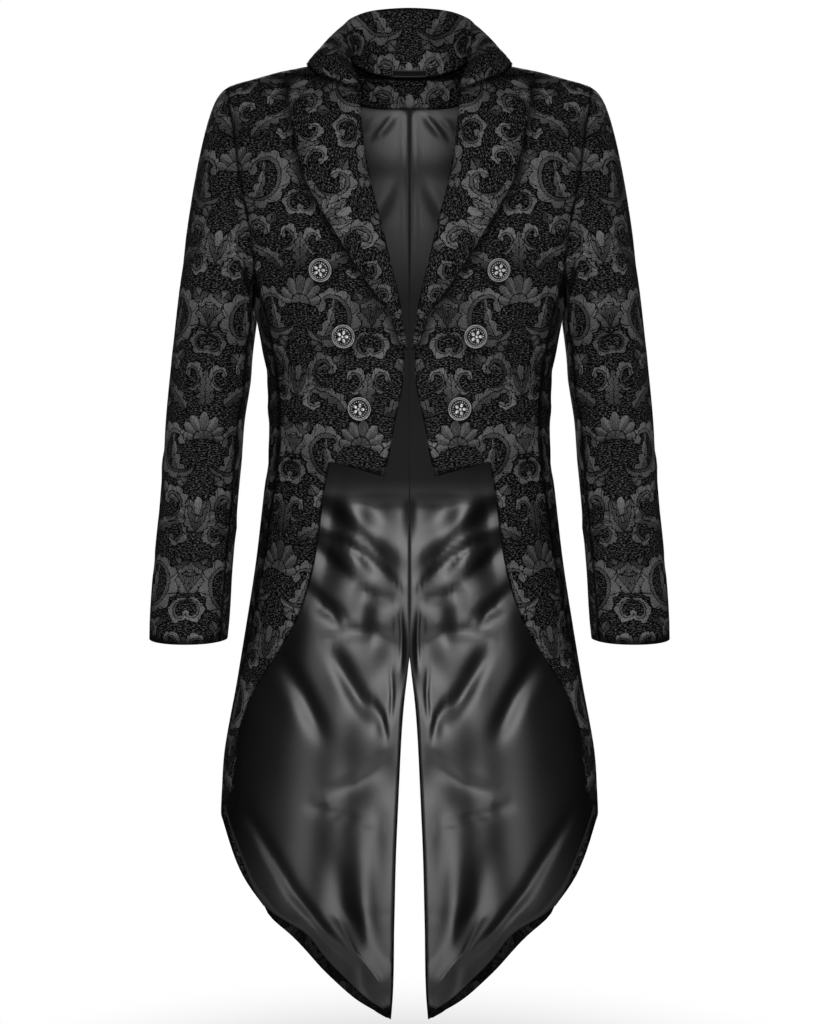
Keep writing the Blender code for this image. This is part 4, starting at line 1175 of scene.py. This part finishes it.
# %% Lapels, collar, facing and tab
Facing = namedtuple("Facing", "node across grain reach upper_reach")
FACINGS = [
    Facing("lapel_left", round_the_coat, 70.0, SEAM_REACH, SEAM_REACH),
    Facing("lapel_right", round_the_coat, 70.0, SEAM_REACH, SEAM_REACH),
    Facing("collar", straight_across, 0.0, 0.0010, SEAM_REACH),
    Facing("neck_facing", straight_across, 0.0, 0.0010, 0.0050),
]
for node, across, grain, reach, upper_reach in FACINGS:
    piece, cut = cloth_from(node, node + "_cloth", PANEL_LEVELS, across,
                            reach=reach, upper_reach=upper_reach, grain=grain)
    press_edges(piece)
    finish_cloth(piece, node, (brocade,), cut)

piece, cut = cloth_from("label", "bare_tab", PANEL_LEVELS, straight_across)
finish_cloth(piece, "label", (tab_cloth,), cut)

# %% [markdown]
# ## The satin lining
# The lining is cut with a little spare length, so that the coat doesn't pull, and the spare cloth settles
# in folds. Here each fold is a ridge along a path of a few points, given as half of the mirrored coat,
# from the outside towards the centre: it rises steeply above the path, which makes a dark line, and falls
# softly below it, which mirrors the floor's light. A ridge stands towards the inside of the coat. Two folds
# are hollows: they only let out a crease that the CAD wall has at that place, so that nothing goes into the
# back. A mesh with small faces carries the shine. All numbers of a fold are in millimetres.

# %% Lining folds
Fold = namedtuple("Fold", "path above below depth")
LINING_FOLDS = [
    Fold(((150, -504), (50, -508), (-100, -512)), 9, 42, 5.2),
    Fold(((112, -479), (16, -568)), 16, 16, -6.6),
    Fold(((120, -521), (20, -609)), 16, 16, -4.2),
    Fold(((126, -540), (85, -551), (52, -571), (18, -604)), 5, 20, 4.2),
    Fold(((120, -551), (90, -580), (63, -603)), 6.5, 18, 3.4),
    Fold(((130, -602), (103, -628), (77, -648)), 5.5, 14, 3.2),
    Fold(((112, -630), (95, -640), (85, -656)), 3.5, 6, 2.2),
    Fold(((104, -674), (72, -664), (44, -665), (14, -681)), 7, 12, 2.2),
    Fold(((152, -700), (128, -745), (108, -792)), 11, 11, 4.5),
    Fold(((94, -690), (74, -728), (50, -770)), 11, 9, 4.6),
    Fold(((104, -866), (62, -853), (21, -820)), 8, 22, 2.9),
    Fold(((126, -880), (80, -896), (33, -909)), 3.6, 3, 1.6),
    Fold(((90, -1020), (69, -1065), (30, -1116)), 4, 3, 1.4),
    Fold(((100, -940), (82, -1000), (70, -1050)), 14, 18, 1.5),
    Fold(((52, -900), (44, -980), (40, -1060)), 11, 13, 1.4),
    Fold(((42, -72), (30, -58), (19, -47)), 3.4, 6, 2),
    Fold(((52, -64), (44, -56), (36, -50)), 5, 3, 1.4),
    Fold(((80, -548), (60, -570), (41, -592)), 3, 2.5, 1),
    Fold(((88, -560), (70, -582), (55, -598)), 3, 2.5, 0.8),
    Fold(((60, -540), (45, -560), (28, -580)), 3, 2.5, 0.9),
    Fold(((60, -612), (40, -622), (18, -626)), 6, 8, 1.8),
    Fold(((130, -452), (80, -470), (30, -478)), 12, 20, 3),
    Fold(((100, -330), (60, -342), (20, -340)), 7, 12, 2.4),
    Fold(((90, -385), (55, -392), (18, -402)), 8, 14, 2.6),
    Fold(((70, -268), (45, -275), (15, -286)), 6, 10, 1.8),
    Fold(((11, -640), (9, -676), (10, -712)), 2.8, 2.8, 1.8),
    Fold(((18, -652), (16, -668)), 2.4, 2.4, 1),
    Fold(((23, -712), (21, -742), (23, -775)), 2.8, 2.4, 1.4),
    Fold(((46, -752), (34, -772), (28, -800)), 4, 8, 2.6),
    Fold(((7, -50), (6, -150), (5, -270)), 3.5, 4.5, 0.6),
    Fold(((196, -885), (174, -929), (144, -985), (104, -1038), (68, -1078)), 8, 5, 3),
]
WEAKER_SIDE = 0.90
FOLD_FADE = 0.6
RIM_SINK = 0.5


def fold_height(places, fold):
    """How far a fold lifts the cloth at each place, both given as (across, up)."""
    path = np.array(fold.path) / MM
    lengths = np.concatenate([[0.0], np.cumsum(np.linalg.norm(np.diff(path, axis=0), axis=1))])
    nearest = np.full(len(places), np.inf)
    width = np.full(len(places), fold.above / MM)
    share = np.zeros(len(places))
    for start, end, before in zip(path[:-1], path[1:], lengths):
        way = end - start
        length = np.linalg.norm(way)
        part = np.clip((places - start) @ way / length ** 2, 0, 1)
        off = places - start - part[:, None] * way
        distance = np.linalg.norm(off, axis=1)
        closer = distance < nearest
        below = way[0] * off[:, 1] - way[1] * off[:, 0] > 0
        nearest = np.where(closer, distance, nearest)
        width = np.where(closer, np.where(below, fold.below / MM, fold.above / MM), width)
        share = np.where(closer, (before + part * length) / lengths[-1], share)
    fade = np.sin(math.pi * (0.04 + 0.92 * share)) ** FOLD_FADE
    return fold.depth / MM * fade * np.exp(-(nearest / width) ** 2)


def fold_lining(piece, strength):
    """Lifts the lining into its folds; its seams stay where they are."""
    points = points_of(piece)
    ways, _ = out_of_coat(points)
    places = np.column_stack([np.abs(points[:, 0]), points[:, 2]])
    lift = sum(fold_height(places, fold) for fold in LINING_FOLDS) * strength
    lift *= 1 - np.clip(rim_of(piece), 0, 1) ** 2 * RIM_SINK
    set_points(piece, points - ways * lift[:, None])


LINING_LEVELS = 3
LINING_REACH = 0.0006
INNER_SHADE = ((-0.508, 0.0), (-0.480, 1.0), (-0.260, 1.0), (-0.170, 0.0))


def mark_inner_shade(piece):
    """Marks the lining behind the closed fronts, where little light gets in."""
    heights, shades = zip(*INNER_SHADE)
    set_mark(piece, "shade", np.interp(points_of(piece)[:, 2], heights, shades))


for side, strength in zip(SIDES, (1.0, WEAKER_SIDE)):
    node = f"lining_{side}"
    piece, cut = cloth_from(node, node + "_satin", LINING_LEVELS, round_the_coat, reach=LINING_REACH)
    add_drags(piece, out_of_coat, COAT_DRAGS)
    fold_lining(piece, strength)
    mark_inner_shade(piece)
    finish_cloth(piece, node, (satin,), cut)

# %% [markdown]
# ## Buttons
# The buttons are cast metal domes inside a double rim, with a plain rosette. One is modelled upright at the
# origin: a disc is extruded and inset again and again, each inset with its own step up or down, which
# gives rim, groove, second rim and dome. The steps are pairs of inset and rise, in millimetres. A petal
# and a bead are each made once and spun round.

# %% One button
BUTTON_RADIUS = 0.0135
BUTTON_STEPS = (
    (0.55, 0.55), (0.6, 0.1), (0.5, -0.75), (0.3, 0),
    (0.45, 0.7), (0.45, 0.05), (0.45, -0.6), (0.6, 0.15),
    (1.4, 0.85), (1.8, 0.8), (2.2, 0.6), (2.4, 0.3),
)
BUTTON_EDGE = 0.0016
PETALS = 5
BEADS = 20
PETAL_RADIUS = 0.0046
PETAL_HEIGHT = 0.0049
BEAD_RING = 0.0083
BEAD_HEIGHT = 0.00365
HEART_HEIGHT = 0.0058
BUTTON_SMOOTH = math.radians(40)
bpy.ops.mesh.primitive_circle_add(vertices=48, radius=BUTTON_RADIUS, fill_type="NGON")
button = bpy.context.active_object
button.name = "button_pattern"
edit(button)
bpy.ops.mesh.extrude_region_move(TRANSFORM_OT_translate={"value": (0, 0, BUTTON_EDGE)})
for inset, rise in BUTTON_STEPS:
    bpy.ops.mesh.inset(thickness=inset / MM, depth=rise / MM)
leave_edit()
apply_modifier(button, "SUBSURF", levels=1, render_levels=1)
print("button", tuple(round(MM * v, 1) for v in button.dimensions), "mm")


def spun_copies(name, size, place, count):
    """A small rounded boss, given its size and place, then spun round the button's middle."""
    bpy.ops.mesh.primitive_uv_sphere_add(segments=10, ring_count=8, radius=1.0, location=place)
    boss = bpy.context.active_object
    boss.name = name
    boss.scale = size
    bpy.ops.object.transform_apply(location=True, rotation=True, scale=True)
    edit(boss)
    bpy.ops.mesh.spin(steps=count, dupli=True, angle=math.tau, center=(0, 0, 0), axis=(0, 0, 1))
    bpy.ops.mesh.select_all(action="SELECT")
    bpy.ops.mesh.remove_doubles(threshold=MERGE)
    bpy.ops.mesh.normals_make_consistent(inside=False)
    leave_edit()
    return boss


petals = spun_copies("petals", (0.0026, 0.0019, 0.0013), (PETAL_RADIUS, 0, PETAL_HEIGHT), PETALS)
beads = spun_copies("beads", (0.0007, 0.0007, 0.0007), (BEAD_RING, 0, BEAD_HEIGHT), BEADS)
heart = spun_copies("heart", (0.0017, 0.0017, 0.0013), (0.0, 0, HEART_HEIGHT), 1)
select_only(button)
for part in (petals, beads, heart):
    part.select_set(True)
bpy.ops.object.join()

# %% [markdown]
# Old silver is bright where it is rubbed and black where polish never reaches. How high a point stands
# above the dome's own field is stored on the points, and the material darkens whatever lies low.

# %% How proud each point of a button stands
FIELD_RADII = (0.0, 0.0040, 0.0080, 0.0095, 0.0110, 0.0135)
FIELD_HEIGHTS = (0.0052, 0.0047, 0.0033, 0.0022, 0.0016, 0.0016)
PROUD_FULL = 0.0009
local = points_of(button)
field = np.interp(np.hypot(local[:, 0], local[:, 1]), FIELD_RADII, FIELD_HEIGHTS)
proud = np.clip((local[:, 2] - field) / PROUD_FULL, 0, 1)
set_mark(button, "proud", proud)
print("proud share", round(float(proud.mean()), 2))

# %% [markdown]
# The metal goes from black over grey to bright silver as a point stands higher. A fine noise adds spots of
# tarnish, which are dark and dull and give the cast metal its slightly uneven skin.

# %% Material: antique silver
SILVER_LOW = (0.012, 0.012, 0.0125, 1.0)
SILVER_FIELD = (0.42, 0.42, 0.425, 1.0)
SILVER_BRIGHT = (0.95, 0.95, 0.96, 1.0)
silver, tree, skin = new_material("antique silver", roughness=0.40, metallic=0.65)
here = add_node(tree, "ShaderNodeTexCoord", "Object")
height = marked(tree, "proud")
tarnish = noise(here, 900.0, 4.0, 0.6)
colour = mixed(ramped(height, 0.02, 0.35), SILVER_LOW, SILVER_FIELD)
colour = mixed(ramped(height, 0.35, 0.95), colour, SILVER_BRIGHT)
colour = mixed(ramped(tarnish, 0.52, 0.72), colour, SILVER_LOW)
feed(colour, skin["Base Color"])
feed(times_plus(tarnish, 0.30, 0.28), skin["Roughness"])
bumped(tarnish, 0.0002, 0.35, skin)
button.data.materials.append(silver)
print("material", silver.name)

# %% [markdown]
# A CAD button's points tell where it sits: their middle is its place, and the way in which they spread
# least is its axis. Each copy is turned to that axis and set down on the cloth.

# %% Six buttons in place
def seat_of(node):
    """Where a CAD button meets the cloth, its way out, and how far it stands out."""
    points = points_of(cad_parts[node])
    middle = points.mean(axis=0)
    axis = np.linalg.svd(points - middle)[2][2]
    axis = axis * (-1 if axis[1] > 0 else 1)
    depths = (points - middle) @ axis
    return middle + axis * depths.min(), Vector(axis), float(np.ptp(depths))


for row in BUTTON_ROWS:
    for side in SIDES:
        node = f"button_{row}_{side}"
        seat, way_out, height = seat_of(node)
        copy = link(f"silver_button_{row}_{side}", button.data.copy())
        turn = way_out.to_track_quat("Z", "Y").to_matrix().to_4x4()
        turn.translation = Vector(seat)
        copy.data.transform(turn)
        select_only(copy)
        bpy.ops.object.shade_smooth_by_angle(angle=BUTTON_SMOOTH)
        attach(copy, "root")
        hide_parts(node)
    print("row", row, "CAD height", round(height * MM, 2), "mm at", [round(float(v), 4) for v in seat])
bpy.data.objects.remove(button)

# %% [markdown]
